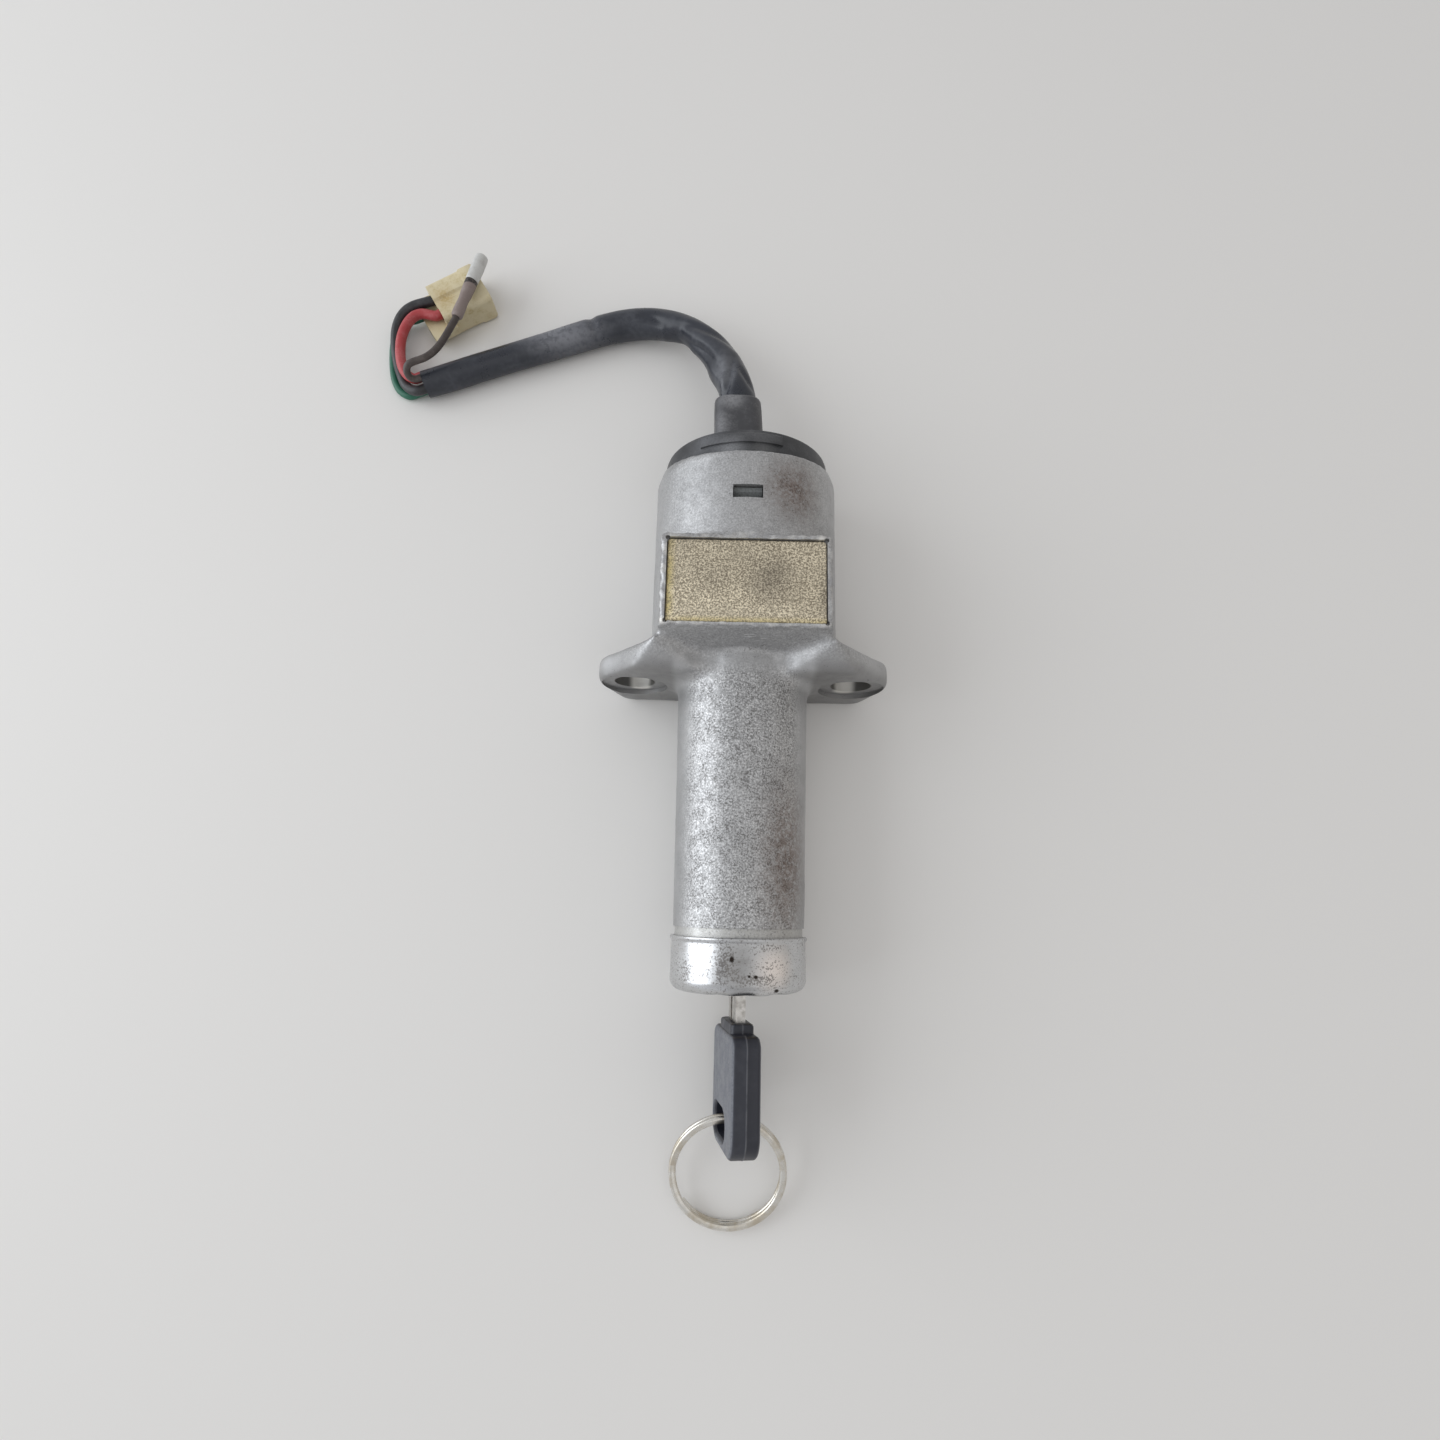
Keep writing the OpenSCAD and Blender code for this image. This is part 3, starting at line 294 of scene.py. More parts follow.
def plated_material():
    """Bright plating with fine dull specks, rust pits and a dark punch mark, and painted reflections: a
    warm pale one on the right and a dark one along the top.
    """
    g = surface("plated")
    smear = g.noise(3.5, 4, 0.6, stretch=(0.5, 1.6, 0.5))
    fine = g.noise(0.4, 3, 0.6)
    dirt = g.band(smear, 0.45, 0.75, 0.0, 0.5)
    for centre, radii, share in CAP_DIRT:
        dirt = g.most(dirt, g.times(g.spot(centre, radii), share))
    speck = g.band(g.math("ADD", fine, g.times(dirt, 0.18)), 0.58, 0.68)
    # Painted reflections: warm and pale on the right side, and dark along the top broken up by the smear
    tone = g.mix(g.spot(*CAP_WARM_REFLECTION), PLATING["plain"], PLATING["warm"])
    dull = g.times(g.spot(*CAP_DARK_REFLECTION), g.band(smear, 0.3, 0.6, 0.9, 0.65))
    tone = g.mix(dull, tone, PLATING["dull"])
    tone = g.mix(g.times(speck, 0.75), tone, PLATING["speck"])
    for centre, radii in CAP_PITS:
        tone = g.mix(g.spot(centre, radii, 0.5), tone, PLATING["pit"])
    g.bump(smear, 0.05, 0.3)
    return g.set(colour=tone, rough=g.band(smear, 0.35, 0.7, 0.24, 0.4), metal=1.0)


# Cover plate: its tones, then smudges as centre, radii and share
GOLD = {
    "pit": (0.30, 0.255, 0.185),
    "grain": (0.97, 0.87, 0.67),
    "cloud": (0.44, 0.39, 0.30),
    "yellow": (0.70, 0.57, 0.20),
    "smudge": (0.17, 0.145, 0.115),
}
SMUDGES = (
    ((4.8, 17, 20), (8, 9, 9), 0.75),
    ((-6.5, 17.5, 20), (8, 6, 8), 0.4),
    ((15.8, 13, 20), (1.4, 7, 5), 0.5),
)


def gold_material():
    """Worn passivated plate: grainy khaki, yellow left only along two edges, smudged in places."""
    g = surface("gold")
    grain = g.noise(0.36, 3, 0.7)
    cloud = g.noise(5, 3)
    tone = g.mix(g.band(grain, 0.4, 0.62), GOLD["pit"], GOLD["grain"])
    tone = g.mix(g.band(cloud, 0.4, 0.7, 0, 0.3), tone, GOLD["cloud"])
    left_x, front_y = -PLATE_W / 2, PLATE_Y - PLATE_L / 2
    left = g.band(g.axis("X"), left_x + 0.2, left_x + 2.2, 1.0, 0.0)
    front = g.band(g.axis("Y"), front_y + 0.2, front_y + 1.6, 1.0, 0.0)
    edge = g.times(g.most(left, g.times(front, 0.7)), g.band(grain, 0.3, 0.6))
    tone = g.mix(g.times(edge, g.band(cloud, 0.3, 0.6, 0.4, 0.8)), tone, GOLD["yellow"])
    for centre, radii, share in SMUDGES:
        smudge = g.times(g.spot(centre, radii), g.band(grain, 0.35, 0.65, 1.0, 0.5))
        tone = g.mix(g.times(smudge, share), tone, GOLD["smudge"])
    g.bump(grain, 0.06, 0.6)
    return g.set(colour=tone, rough=0.52, metal=0.8)


# Key head: its tones
KEY_TONES = {
    "dark": (0.021, 0.023, 0.033),
    "dusty": (0.045, 0.047, 0.058),
    "seam": (0.11, 0.112, 0.125),
    # The face tone is painted light on the key head's broad faces
    "face": (0.155, 0.163, 0.188),
}


def key_plastic_material():
    """Blue-black moulding with painted light on its broad faces, lighter and grainy, and a pale line where
    the mould parted.
    """
    g = surface("key_plastic")
    aside = g.math("SUBTRACT", g.times(g.axis("X"), math.cos(KEY_LEAN)),
                   g.times(g.axis("Z"), math.sin(KEY_LEAN)))
    away = g.math("ABSOLUTE", aside)
    dust = g.noise(3, 4, 0.6)
    grain = g.noise(0.35, 3)
    tone = g.mix(g.band(dust, 0.45, 0.75, 0, 0.5), KEY_TONES["dark"], KEY_TONES["dusty"])
    seam = g.times(g.band(away, 0.08, 0.22, 1, 0), g.band(dust, 0.35, 0.55, 0.2, 0.8))
    tone = g.mix(seam, tone, KEY_TONES["seam"])
    # Painted light: the broad faces lighter, mixed with grain, as if lit by the window
    near_face = g.band(away, HEAD_T / 2 - 0.45, HEAD_T / 2 - 0.1)
    face = g.times(near_face, g.band(grain, 0.35, 0.65, 0.55, 1.0))
    tone = g.mix(face, tone, KEY_TONES["face"])
    g.bump(g.math("ADD", grain, dust), 0.02, 0.5)
    return g.set(colour=tone, rough=g.band(dust, 0.35, 0.7, 0.34, 0.48))


# Plain plastics, rubber, vinyl and metals
def dusty_material(name, dark, pale, rough, size=3.0, patches=(), soft=0.0):
    """Moulded or rubber surface with dust of another tone, and patches of centre, radii, tone and share,
    some of which are painted sheen, highlight and shadow.
    """
    g = surface(name)
    dust = g.noise(size, 5, 0.65)
    grain = g.noise(size / 8, 3)
    share = g.times(g.band(dust, 0.42, 0.75), g.band(grain, 0.3, 0.65, 0.4, 1.0))
    tone = g.mix(share, dark, pale)
    for centre, radii, colour, most in patches:
        cover = g.times(g.spot(centre, radii, soft), g.band(grain, 0.3, 0.6, 0.6 * most, most))
        tone = g.mix(cover, tone, colour)
    g.bump(g.math("ADD", grain, dust), 0.03, 0.6)
    return g.set(colour=tone, rough=g.band(dust, 0.35, 0.7, rough - 0.08, rough + 0.12))


def worn_metal(name, bright, dull, rough, size=1.5):
    g = surface(name)
    wear = g.noise(size, 4, 0.6)
    grain = g.noise(size / 5, 3)
    g.bump(grain, 0.02, 0.4)
    return g.set(colour=g.mix(g.band(wear, 0.35, 0.68), bright, dull),
                 rough=g.band(wear, 0.3, 0.7, rough, rough + 0.2), metal=1.0)


BASE_DUST = (
    ((0, 36.8, 19.5), (9, 6, 6), (0.17, 0.18, 0.18), 1.0),
    ((-3.8, 48, 18.6), (5.5, 4, 3.5), (0.24, 0.245, 0.255), 0.85),
    ((3.2, 48, 19), (4, 3, 3), (0.14, 0.14, 0.14), 0.6),
    ((-9, 50.5, 17), (9, 4, 4), (0.19, 0.195, 0.21), 0.45),
    ((3, 51, 19.5), (9, 2.5, 3), (0.17, 0.17, 0.175), 0.45),
)
# Boot patches: dust with painted sheen, lighter spots where a soft highlight falls
BOOT_DUST_AND_SHEEN = (
    ((-2.5, 56.5, 6), (6, 4.5, 6), (0.34, 0.34, 0.35), 0.8),
    ((-4, 69, 5), (5, 4, 5), (0.30, 0.30, 0.31), 0.75),
    ((-6, 62, 5), (3, 6, 5), (0.26, 0.26, 0.27), 0.6),
)
# Sleeve patches: the large one on the sleeve's middle is a painted highlight, the smaller one by the boot
# is dust
SLEEVE_DUST_AND_HIGHLIGHT = (
    ((-49, 96, -7), (17, 9, 8), (0.20, 0.205, 0.225), 0.95),
    ((-6, 79, 3), (5, 8, 6), (0.19, 0.195, 0.21), 0.7),
)
NYLON_STAIN = (
    ((-80.5, 106, -6.5), (4.5, 5, 4), (0.42, 0.28, 0.09), 0.6),
    ((-85, 103.5, -10), (5, 5, 5), (0.42, 0.34, 0.18), 0.6),
)
# Painted shadow: a black band at the crimp tube's end, where it meets the clear sleeve
CRIMP_END_SHADOW = (((-72.9, 108.9, -4.3), (7, 1.6, 7), (0.010, 0.009, 0.009), 1.0),)
SHADOW_EDGE = 0.75

# Two tones and a roughness, then for some the size of the wear or dust, patches and their edge
METALS = {
    "brass": ((0.62, 0.46, 0.19), (0.40, 0.28, 0.11), 0.3),
    "steel": ((0.46, 0.46, 0.47), (0.30, 0.29, 0.28), 0.32),
    "spring_steel": ((0.42, 0.42, 0.44), (0.26, 0.26, 0.27), 0.3),
    "tinned": ((0.55, 0.54, 0.51), (0.30, 0.28, 0.26), 0.3),
    "key_metal": ((0.62, 0.60, 0.57), (0.42, 0.40, 0.37), 0.25),
    "ring_nickel": ((0.74, 0.72, 0.67), (0.56, 0.50, 0.40), 0.2, 4.0),
}
MOULDINGS = {
    "rotor_plastic": ((0.55, 0.52, 0.44), (0.40, 0.37, 0.30), 0.5),
    "black_plastic": ((0.035, 0.036, 0.039), (0.08, 0.081, 0.085), 0.45, 3.0, BASE_DUST),
    "boot_rubber": ((0.055, 0.055, 0.06), (0.12, 0.12, 0.125), 0.42, 4.0, BOOT_DUST_AND_SHEEN),
    "sleeve_vinyl": ((0.022, 0.025, 0.034), (0.05, 0.054, 0.066), 0.33, 9.0, SLEEVE_DUST_AND_HIGHLIGHT),
    "wire_red": ((0.40, 0.045, 0.05), (0.48, 0.12, 0.125), 0.4),
    "wire_black": ((0.022, 0.022, 0.024), (0.06, 0.06, 0.065), 0.42),
    "wire_green": ((0.012, 0.11, 0.065), (0.035, 0.17, 0.11), 0.4),
    "wire_brown": ((0.055, 0.042, 0.038), (0.12, 0.10, 0.09), 0.45),
    "nylon": ((0.66, 0.58, 0.385), (0.50, 0.40, 0.20), 0.5, 4.0, NYLON_STAIN),
    "crimp_vinyl": ((0.24, 0.19, 0.175), (0.32, 0.27, 0.25), 0.5, 3.0, CRIMP_END_SHADOW, SHADOW_EDGE),
    "clear_vinyl": ((0.58, 0.58, 0.56), (0.42, 0.41, 0.39), 0.35, 2.0),
}
MATERIALS = {
    "zinc_casting": zinc_material(),
    "plated_cap": plated_material(),
    "gold_plate": gold_material(),
    "key_plastic": key_plastic_material(),
}
MATERIALS.update({name: worn_metal(name, *row) for name, row in METALS.items()})
MATERIALS.update({name: dusty_material(name, *row) for name, row in MOULDINGS.items()})


# Mesh helpers. Points are given in millimetres.
def link_mesh(name, mesh):
    piece = bpy.data.objects.new(name, mesh)
    scene.collection.objects.link(piece)
    return piece


def from_points(name, points, faces):
    mesh = bpy.data.meshes.new(name)
    mesh.from_pydata([tuple(c * MM for c in p) for p in points], [], faces)
    mesh.validate()
    mesh.update()
    return link_mesh(name, mesh)


def finish_piece(piece, body, slot, replaced, sharp):
    """Gives a piece its material and its body, when one is given, and hides the node that it replaces."""
    piece.data.materials.clear()
    piece.data.materials.append(MATERIALS[slot])
    piece.data.shade_smooth()
    piece.data.set_sharp_from_angle(angle=math.radians(sharp))
    if body:
        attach(piece, body)
    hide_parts(replaced)
    return piece


def fix_normals(piece):
    bm = bmesh.new()
    bm.from_mesh(piece.data)
    bmesh.ops.recalc_face_normals(bm, faces=bm.faces)
    bm.to_mesh(piece.data)
    bm.free()
    piece.data.update()


def spline(points, steps):
    """Smooth line through the points, with equal counts of steps between them."""
    p = [np.array(q, float) for q in points]
    p = [2 * p[0] - p[1]] + p + [2 * p[-1] - p[-2]]
    line = []
    for i in range(1, len(p) - 2):
        for k in range(steps):
            t = k / steps
            a, b, c, d = p[i - 1], p[i], p[i + 1], p[i + 2]
            line.append(0.5 * (2 * b + (c - a) * t + (2 * a - 5 * b + 4 * c - d) * t ** 2
                               + (3 * b - a - 3 * c + d) * t ** 3))
    line.append(p[-2])
    return line


def loft(name, loops):
    """Solid through a stack of loops that have equal counts of points."""
    count = len(loops[0])
    points = [p for loop in loops for p in loop]
    faces = [tuple(range(count)), tuple(range(len(points) - count, len(points)))]
    for start in range(0, len(points) - count, count):
        for i in range(count):
            j = (i + 1) % count
            faces.append((start + i, start + j, start + count + j, start + count + i))
    piece = from_points(name, points, faces)
    fix_normals(piece)
    return piece


def sweep(name, line, radius, sides, up=(0, 0, 1), mouth=None):
    """Closed tube along a line; radius(share, angle) gives its skin, mouth its end's bore and depth."""
    angles = [2 * math.pi * k / sides for k in range(sides)]
    loops = []
    normal = None

    def spoke(angle):
        return math.cos(angle) * normal + math.sin(angle) * other

    for i, p in enumerate(line):
        along = line[min(i + 1, len(line) - 1)] - line[max(i - 1, 0)]
        along = along / np.linalg.norm(along)
        normal = np.cross(along, up) if normal is None else normal - along * (normal @ along)
        normal = normal / np.linalg.norm(normal)
        other = np.cross(along, normal)
        share = i / (len(line) - 1)
        loops.append([p + radius(share, a) * spoke(a) for a in angles])
    if mouth:
        bore, depth = mouth
        for back in (0, depth):
            loops.append([p - back * along + bore * spoke(a) for a in angles])
    return loft(name, loops)


# Solids and cuts for castings and mouldings
def circle(x, z, radius, count=48, start=0.0, turn=360.0):
    """Points of an arc in an outline; a whole turn leaves out its last point."""
    last = count if turn == 360 else count - 1
    angles = (math.radians(start + turn * i / last) for i in range(count))
    return [(x + radius * math.cos(a), z + radius * math.sin(a)) for a in angles]


def rounded(width, length, radius, x=0.0, z=0.0, steps=7):
    outline = []
    for side, end, start in ((1, 1, 0), (-1, 1, 90), (-1, -1, 180), (1, -1, 270)):
        outline += circle(x + side * (width / 2 - radius), z + end * (length / 2 - radius), radius, steps,
                          start, 90)
    return outline


def at_x(outline, x):
    return [(x, y, z) for y, z in outline]


def at_y(outline, y):
    return [(x, y, z) for x, z in outline]


def at_z(outline, z):
    return [(x, y, z) for x, y in outline]


def prism(name, outline, low, high, place=at_y):
    """Outline in X and Z carried along Y, or placed by at_z in X and Y and carried along Z."""
    return loft(name, [place(outline, low), place(outline, high)])


def box(name, low, high):
    outline = [(low[0], low[2]), (high[0], low[2]), (high[0], high[2]), (low[0], high[2])]
    return prism(name, outline, low[1], high[1])


def rod(name, radius, low, high, x=0.0, z=0.0, sides=64):
    return prism(name, circle(x, z, radius, sides), low, high)


def lathe(name, profile, sides):
    """Profile of radius and Y turned about the lock's axis; ends on the axis or meets itself."""
    closed = profile[0][0] > 0
    rows = [[(r * math.cos(2 * math.pi * k / sides), y, r * math.sin(2 * math.pi * k / sides))
             for k in range(sides if r else 1)] for r, y in profile]
    points = [p for row in rows for p in row]
    starts = np.cumsum([0] + [len(row) for row in rows])

    def corner(row, k):
        return starts[row] + (k % sides if len(rows[row]) > 1 else 0)

    faces = []
    for i in range(len(rows) if closed else len(rows) - 1):
        j = (i + 1) % len(rows)
        for k in range(sides):
            face = list(dict.fromkeys([corner(i, k), corner(i, k + 1), corner(j, k + 1), corner(j, k)]))
            if len(face) > 2:
                faces.append(face)
    piece = from_points(name, points, faces)
    fix_normals(piece)
    return piece


def trim(piece, point, normal):
    """Cuts away what lies on the normal's side of a plane and closes the cut."""
    bm = bmesh.new()
    bm.from_mesh(piece.data)
    bmesh.ops.bisect_plane(bm, geom=bm.verts[:] + bm.edges[:] + bm.faces[:], dist=1e-7,
                           plane_co=Vector(point) * MM, plane_no=normal, clear_outer=True)
    bmesh.ops.edgeloop_fill(bm, edges=[e for e in bm.edges if e.is_boundary])
    bmesh.ops.recalc_face_normals(bm, faces=bm.faces)
    bm.to_mesh(piece.data)
    bm.free()


def bake(piece):
    """Makes the modifiers' result the piece's own mesh."""
    bpy.context.view_layer.update()
    graph = bpy.context.evaluated_depsgraph_get()
    mesh = bpy.data.meshes.new_from_object(piece.evaluated_get(graph))
    piece.modifiers.clear()
    piece.data = mesh


def combine(piece, tools, operation):
    for tool in tools:
        step = piece.modifiers.new("combine", "BOOLEAN")
        step.solver = "MANIFOLD"
        step.operation = operation
        step.object = tool
    bake(piece)
    for tool in tools:
        bpy.data.objects.remove(tool)


def moved(piece, matrix):
    """Carries a mesh by a matrix whose shift is in millimetres."""
    shift = Matrix.Translation(matrix.to_translation() * MM)
    piece.data.transform(shift @ matrix.to_3x3().to_4x4())


def joined(name, pieces):
    bm = bmesh.new()
    for piece in pieces:
        bm.from_mesh(piece.data)
        bpy.data.objects.remove(piece)
    mesh = bpy.data.meshes.new(name)
    bm.to_mesh(mesh)
    bm.free()
    return link_mesh(name, mesh)


def smooth(piece, rounds):
    soft = piece.modifiers.new("soft", "SMOOTH")
    soft.iterations = rounds
    soft.factor = 0.5
    return soft


def remeshed(piece, voxel, rounds):
    """One cast skin over overlapping solids, with its edges softened."""
    grid = piece.modifiers.new("grid", "REMESH")
    grid.mode = "VOXEL"
    grid.voxel_size = voxel * MM
    smooth(piece, rounds)
    bake(piece)


def soften(piece, chosen, rounds):
    """Smooths the vertices for which chosen(x, y, z) gives a share above 0."""
    group = piece.vertex_groups.new(name="soften")
    for vertex in piece.data.vertices:
        share = chosen(*(vertex.co / MM))
        if share > 0:
            group.add([vertex.index], share, "REPLACE")
    smooth(piece, rounds).vertex_group = group.name
    bake(piece)
    piece.vertex_groups.clear()


def displace(piece, shift):
    """Moves each vertex along its normal by shift(place in mm), in millimetres."""
    moves = [vertex.normal * shift(vertex.co / MM) * MM for vertex in piece.data.vertices]
    for vertex, move in zip(piece.data.vertices, moves):
        vertex.co += move
    piece.data.update()


def ripple(place, size, octaves=3):
    return noise.fractal(place / size, 1.0, 2.0, octaves)


# Connector and bullet at the cable's end
PLUG = Matrix.Translation((-79.1, 106.9, -10.5)) @ Matrix.Rotation(math.radians(32 - 90), 4, "Z")
PLUG_L, PLUG_W, PLUG_H, PLUG_CORNER, PLUG_STEP = 18.3, 13, 8, 1.3, 4.6
LUG_SIZE, LUG_CORNER, LUG_IN = 3, 0.3, 0.3
VALLEY_HALF, VALLEY_FLOOR, VALLEY_DEPTH, VALLEY_END = 7, 0.3, 0.7, 4.5
CAVITY_X, CAVITY_Z, CAVITY_W, CAVITY_T, CAVITY_CORNER = 2.4, 1.8, 3.6, 2.8, 0.3
WALL_IN, ENTRY_R = 1.6, 1.6
BULLET_FROM = np.array((-75.9, 98.2, -4.5))
BULLET_AXIS = np.array((3.6, 12.5, 0.2)) / np.linalg.norm((3.6, 12.5, 0.2))
CRIMP_L, BULLET_L = 11.2, 7.6
CRIMP_SHARES, CRIMP_RADII = (0, 0.03, 0.95, 1), (1.15, 1.45, 1.62, 1.58)
BULLET_SHARES, BULLET_RADII = (0, 0.04, 0.5, 0.94, 1), (1.58, 1.68, 1.75, 1.7, 1.6)
WAIST_AT, WAIST_REACH, WAIST_DEPTH, WAIST_FLAT = 0.45, 0.16, 0.1, 0.6
BULLET_MOUTH = (1.3, 1.0)


def connector_block(rear, front):
    """Block with a collar at its mouth and a latch lug; stations are places along it and their insets."""
    stations = ((rear, 0.8), (rear + 0.25, 0.45), (rear + 0.8, 0.25), (4.7, 0.25), (5.2, 0),
                (front - 0.6, 0), (front - 0.15, 0.2), (front, 0.5))
    block = loft("connector_skin", [at_y(rounded(PLUG_W - 2 * inset, PLUG_H - 2 * inset, PLUG_CORNER), y)
                                    for y, inset in stations])
    lug_stations = ((rear + 0.1, 0.5), (rear + 0.6, 0), (rear + 6.4, 0), (rear + 7, 0.5))
    lug = loft("lug", [at_y(rounded(LUG_SIZE, LUG_SIZE - 2 * inset, LUG_CORNER, PLUG_W / 2 - LUG_IN), y)
                       for y, inset in lug_stations])
    combine(block, [lug], "UNION")
    return block


def connector_cavities(rear, step, front):
    """Four cavities for terminals; three of them have a wire's entry."""
    tools = []
    for x in (-CAVITY_X, CAVITY_X):
        for z, start in ((-CAVITY_Z, rear), (CAVITY_Z, step)):
            cavity = rounded(CAVITY_W, CAVITY_T, CAVITY_CORNER, x, z)
            tools.append(prism("cavity", cavity, start + WALL_IN, front + 1))
            if not (x > 0 and z < 0):
                tools.append(rod("entry", ENTRY_R, start - 1, start + WALL_IN + 0.1, x, z, 24))
    return tools


def make_connector():
    """Moulded block with a stepped rear and a shallow valley along its top."""
    rear, front = -PLUG_L / 2, PLUG_L / 2
    step = rear + PLUG_STEP
    piece = connector_block(rear, front)
    floor = PLUG_H / 2 - VALLEY_DEPTH
    valley = [(-VALLEY_HALF, PLUG_H), (VALLEY_HALF, PLUG_H), (VALLEY_FLOOR, floor), (-VALLEY_FLOOR, floor)]
    tools = [box("step", (-PLUG_W, rear - 1, 0), (PLUG_W, step, PLUG_H)),
             prism("valley", valley, step - 1, VALLEY_END)]
    combine(piece, tools + connector_cavities(rear, step, front), "DIFFERENCE")
    moved(piece, PLUG)
    return finish_piece(piece, "housing", "nylon", "connector_housing", 35)


def along_bullet(start, length, steps=24):
    return [BULLET_FROM + BULLET_AXIS * (start + length * i / steps) for i in range(steps + 1)]


def make_crimp_tube():
    """Soft tube over the joint, waisted where the joint was pressed."""
    def radius(share, angle):
        ends = np.interp(share, CRIMP_SHARES, CRIMP_RADII)
        waist = WAIST_DEPTH * math.exp(-((share - WAIST_AT) / WAIST_REACH) ** 2)
        return ends * (1 - waist * (1 + WAIST_FLAT * math.cos(2 * angle)))
    piece = sweep("crimp_tube_skin", along_bullet(0, CRIMP_L), radius, 20)
    return finish_piece(piece, "housing", "crimp_vinyl", "crimp_tube", 50)


def make_bullet_sleeve():
    def radius(share, angle):
        return np.interp(share, BULLET_SHARES, BULLET_RADII)
    piece = sweep("bullet_sleeve_skin", along_bullet(CRIMP_L, BULLET_L), radius, 24, mouth=BULLET_MOUTH)
    return finish_piece(piece, "housing", "clear_vinyl", "bullet_sleeve", 50)


connector = make_connector()
crimp_tube = make_crimp_tube()
bullet_sleeve = make_bullet_sleeve()


# Cords, along the routes of the CAD solids, from where the cable leaves the rear cover
EXIT = np.array((-2, 52.8, 0))
SLEEVE = [(0, 5.2, 0), (0, 11.2, 0), (0, 17.2, 0), (-0.8, 22.2, -0.3), (-2.6, 27.7, -1.2),
          (-5, 33.2, -2.6), (-8.5, 38.7, -4.4), (-14, 44.2, -6.6), (-20.5, 47.4, -8.5), (-27.5, 48.6, -9.9),
          (-35, 47.5, -10.5), (-43, 44.8, -10.7), (-51.5, 41.5, -10.7), (-60, 38.4, -10.7),
          (-68.5, 35.2, -10.7), (-76.5, 32, -10.7), (-82.5, 29.7, -10.7)]
BLACK = [(-82.07, 28.47, -10.4), (-84.21, 27.65, -10.4), (-86.5, 28.5, -10.9), (-88.3, 30.5, -11.4),
         (-89.6, 33.3, -11.5), (-90.7, 36.4, -11.4), (-91.4, 39.6, -11.1), (-91.8, 42.8, -10.7),
         (-91.7, 45.9, -10.2), (-90.9, 48.7, -9.7), (-89.3, 50.8, -9.2), (-87.2, 52.1, -8.9),
         (-84.9, 52.8, -8.7), (-82.4, 53.7, -8.7), (-80.9, 54.55, -8.7)]
RED = [(-83.17, 31.37, -9.6), (-85.04, 30.65, -9.6), (-86.9, 31.5, -9.3), (-88.2, 33.4, -9.1),
       (-89, 36, -8.9), (-89.4, 38.9, -8.8), (-89.4, 41.9, -8.7), (-88.9, 44.8, -8.7), (-87.9, 47.3, -8.7),
       (-86.4, 49, -8.7), (-84.4, 49.6, -8.7), (-82.3, 49.2, -8.7), (-80.9, 49, -8.7), (-79.6, 49.7, -8.7),
       (-78.37, 50.47, -8.7)]
GREEN = [(-82.6, 29.8, -13.2), (-84.73, 28.98, -13.2), (-87.3, 28.1, -13.4), (-90, 29.5, -13.4),
         (-91.7, 32.4, -13.4), (-92.6, 35.8, -13.4), (-93.1, 39.3, -13.4), (-93.3, 42.8, -13.3),
         (-93, 46, -13.1), (-91.9, 48.6, -12.8), (-90.1, 50, -12.5), (-88, 50.4, -12.3),
         (-86.1, 51.3, -12.3), (-84.8, 52.1, -12.3)]
BROWN = [(-82.61, 29.89, -7.9), (-83.9, 29.4, -7.9), (-84.95, 29.2, -7.2), (-85.45, 29.6, -6.1),
         (-85.4, 30.4, -5.1), (-84.7, 31.2, -4.4), (-83.1, 32, -4.2), (-81, 32.9, -4.2),
         (-79.2, 34.4, -4.3), (-77.8, 36.3, -4.4), (-76.7, 38.5, -4.5), (-75.7, 40.8, -4.5),
         (-74.8, 43.1, -4.5), (-73.9, 45.4, -4.5), (-72.1, 51.6, -4.4), (-70.9, 55.9, -4.3)]
SLEEVE_D, SLEEVE_STEPS, SLEEVE_SIDES, SLEEVE_MOUTH = 7.4, 14, 64, (2.9, 1.4)
WIRE_D, GREEN_D, BROWN_D = 2.6, 2.0, 1.8

# Form of the sleeve. Shares count the route's points from 0 to 1.
SLEEVE_SHARES = (0, 0.1, 0.16, 0.25, 0.36, 0.44, 0.52, 0.6, 0.74, 1)
SLEEVE_RADII = (3.7, 4.2, 4.4, 4.3, 4.0, 3.7, 3.85, 3.95, 3.6, 3.45)
LEAST_R = 2.68
# Folds: share and degrees where each starts and where it ends, depth, radians to half its depth
FOLDS = (
    (0.12, 195, 0.28, 300, 0.9, 0.22),
    (0.2, 245, 0.43, 185, 0.85, 0.24),
    (0.29, 325, 0.45, 235, 0.8, 0.24),
    (0.15, 330, 0.24, 290, 0.6, 0.2),
    (0.46, 215, 0.56, 262, 0.5, 0.3),
)
INNER, TOP = math.radians(180), math.radians(270)
BULGE_AT, BULGE_REACH, BULGE_RISE = 0.27, 0.035, 0.5
PINCH_AT, PINCH_REACH, PINCH_DEPTH = 0.437, 0.045, 1.4
KINK_AT, KINK_REACH, KINK_DEPTH = 0.655, 0.012, 0.5


def fold_depth(share, angle):
    """How far all the folds together draw the sleeve in."""
    total = 0
    for start, turn, end, last, depth, width in FOLDS:
        if start < share < end:
            along = (share - start) / (end - start)
            aside = math.radians(turn + (last - turn) * along) - angle
            aside = math.atan2(math.sin(aside), math.cos(aside))
            total += depth * math.sin(math.pi * along) * max(0, 1 - abs(aside) / (2 * width))
    return total


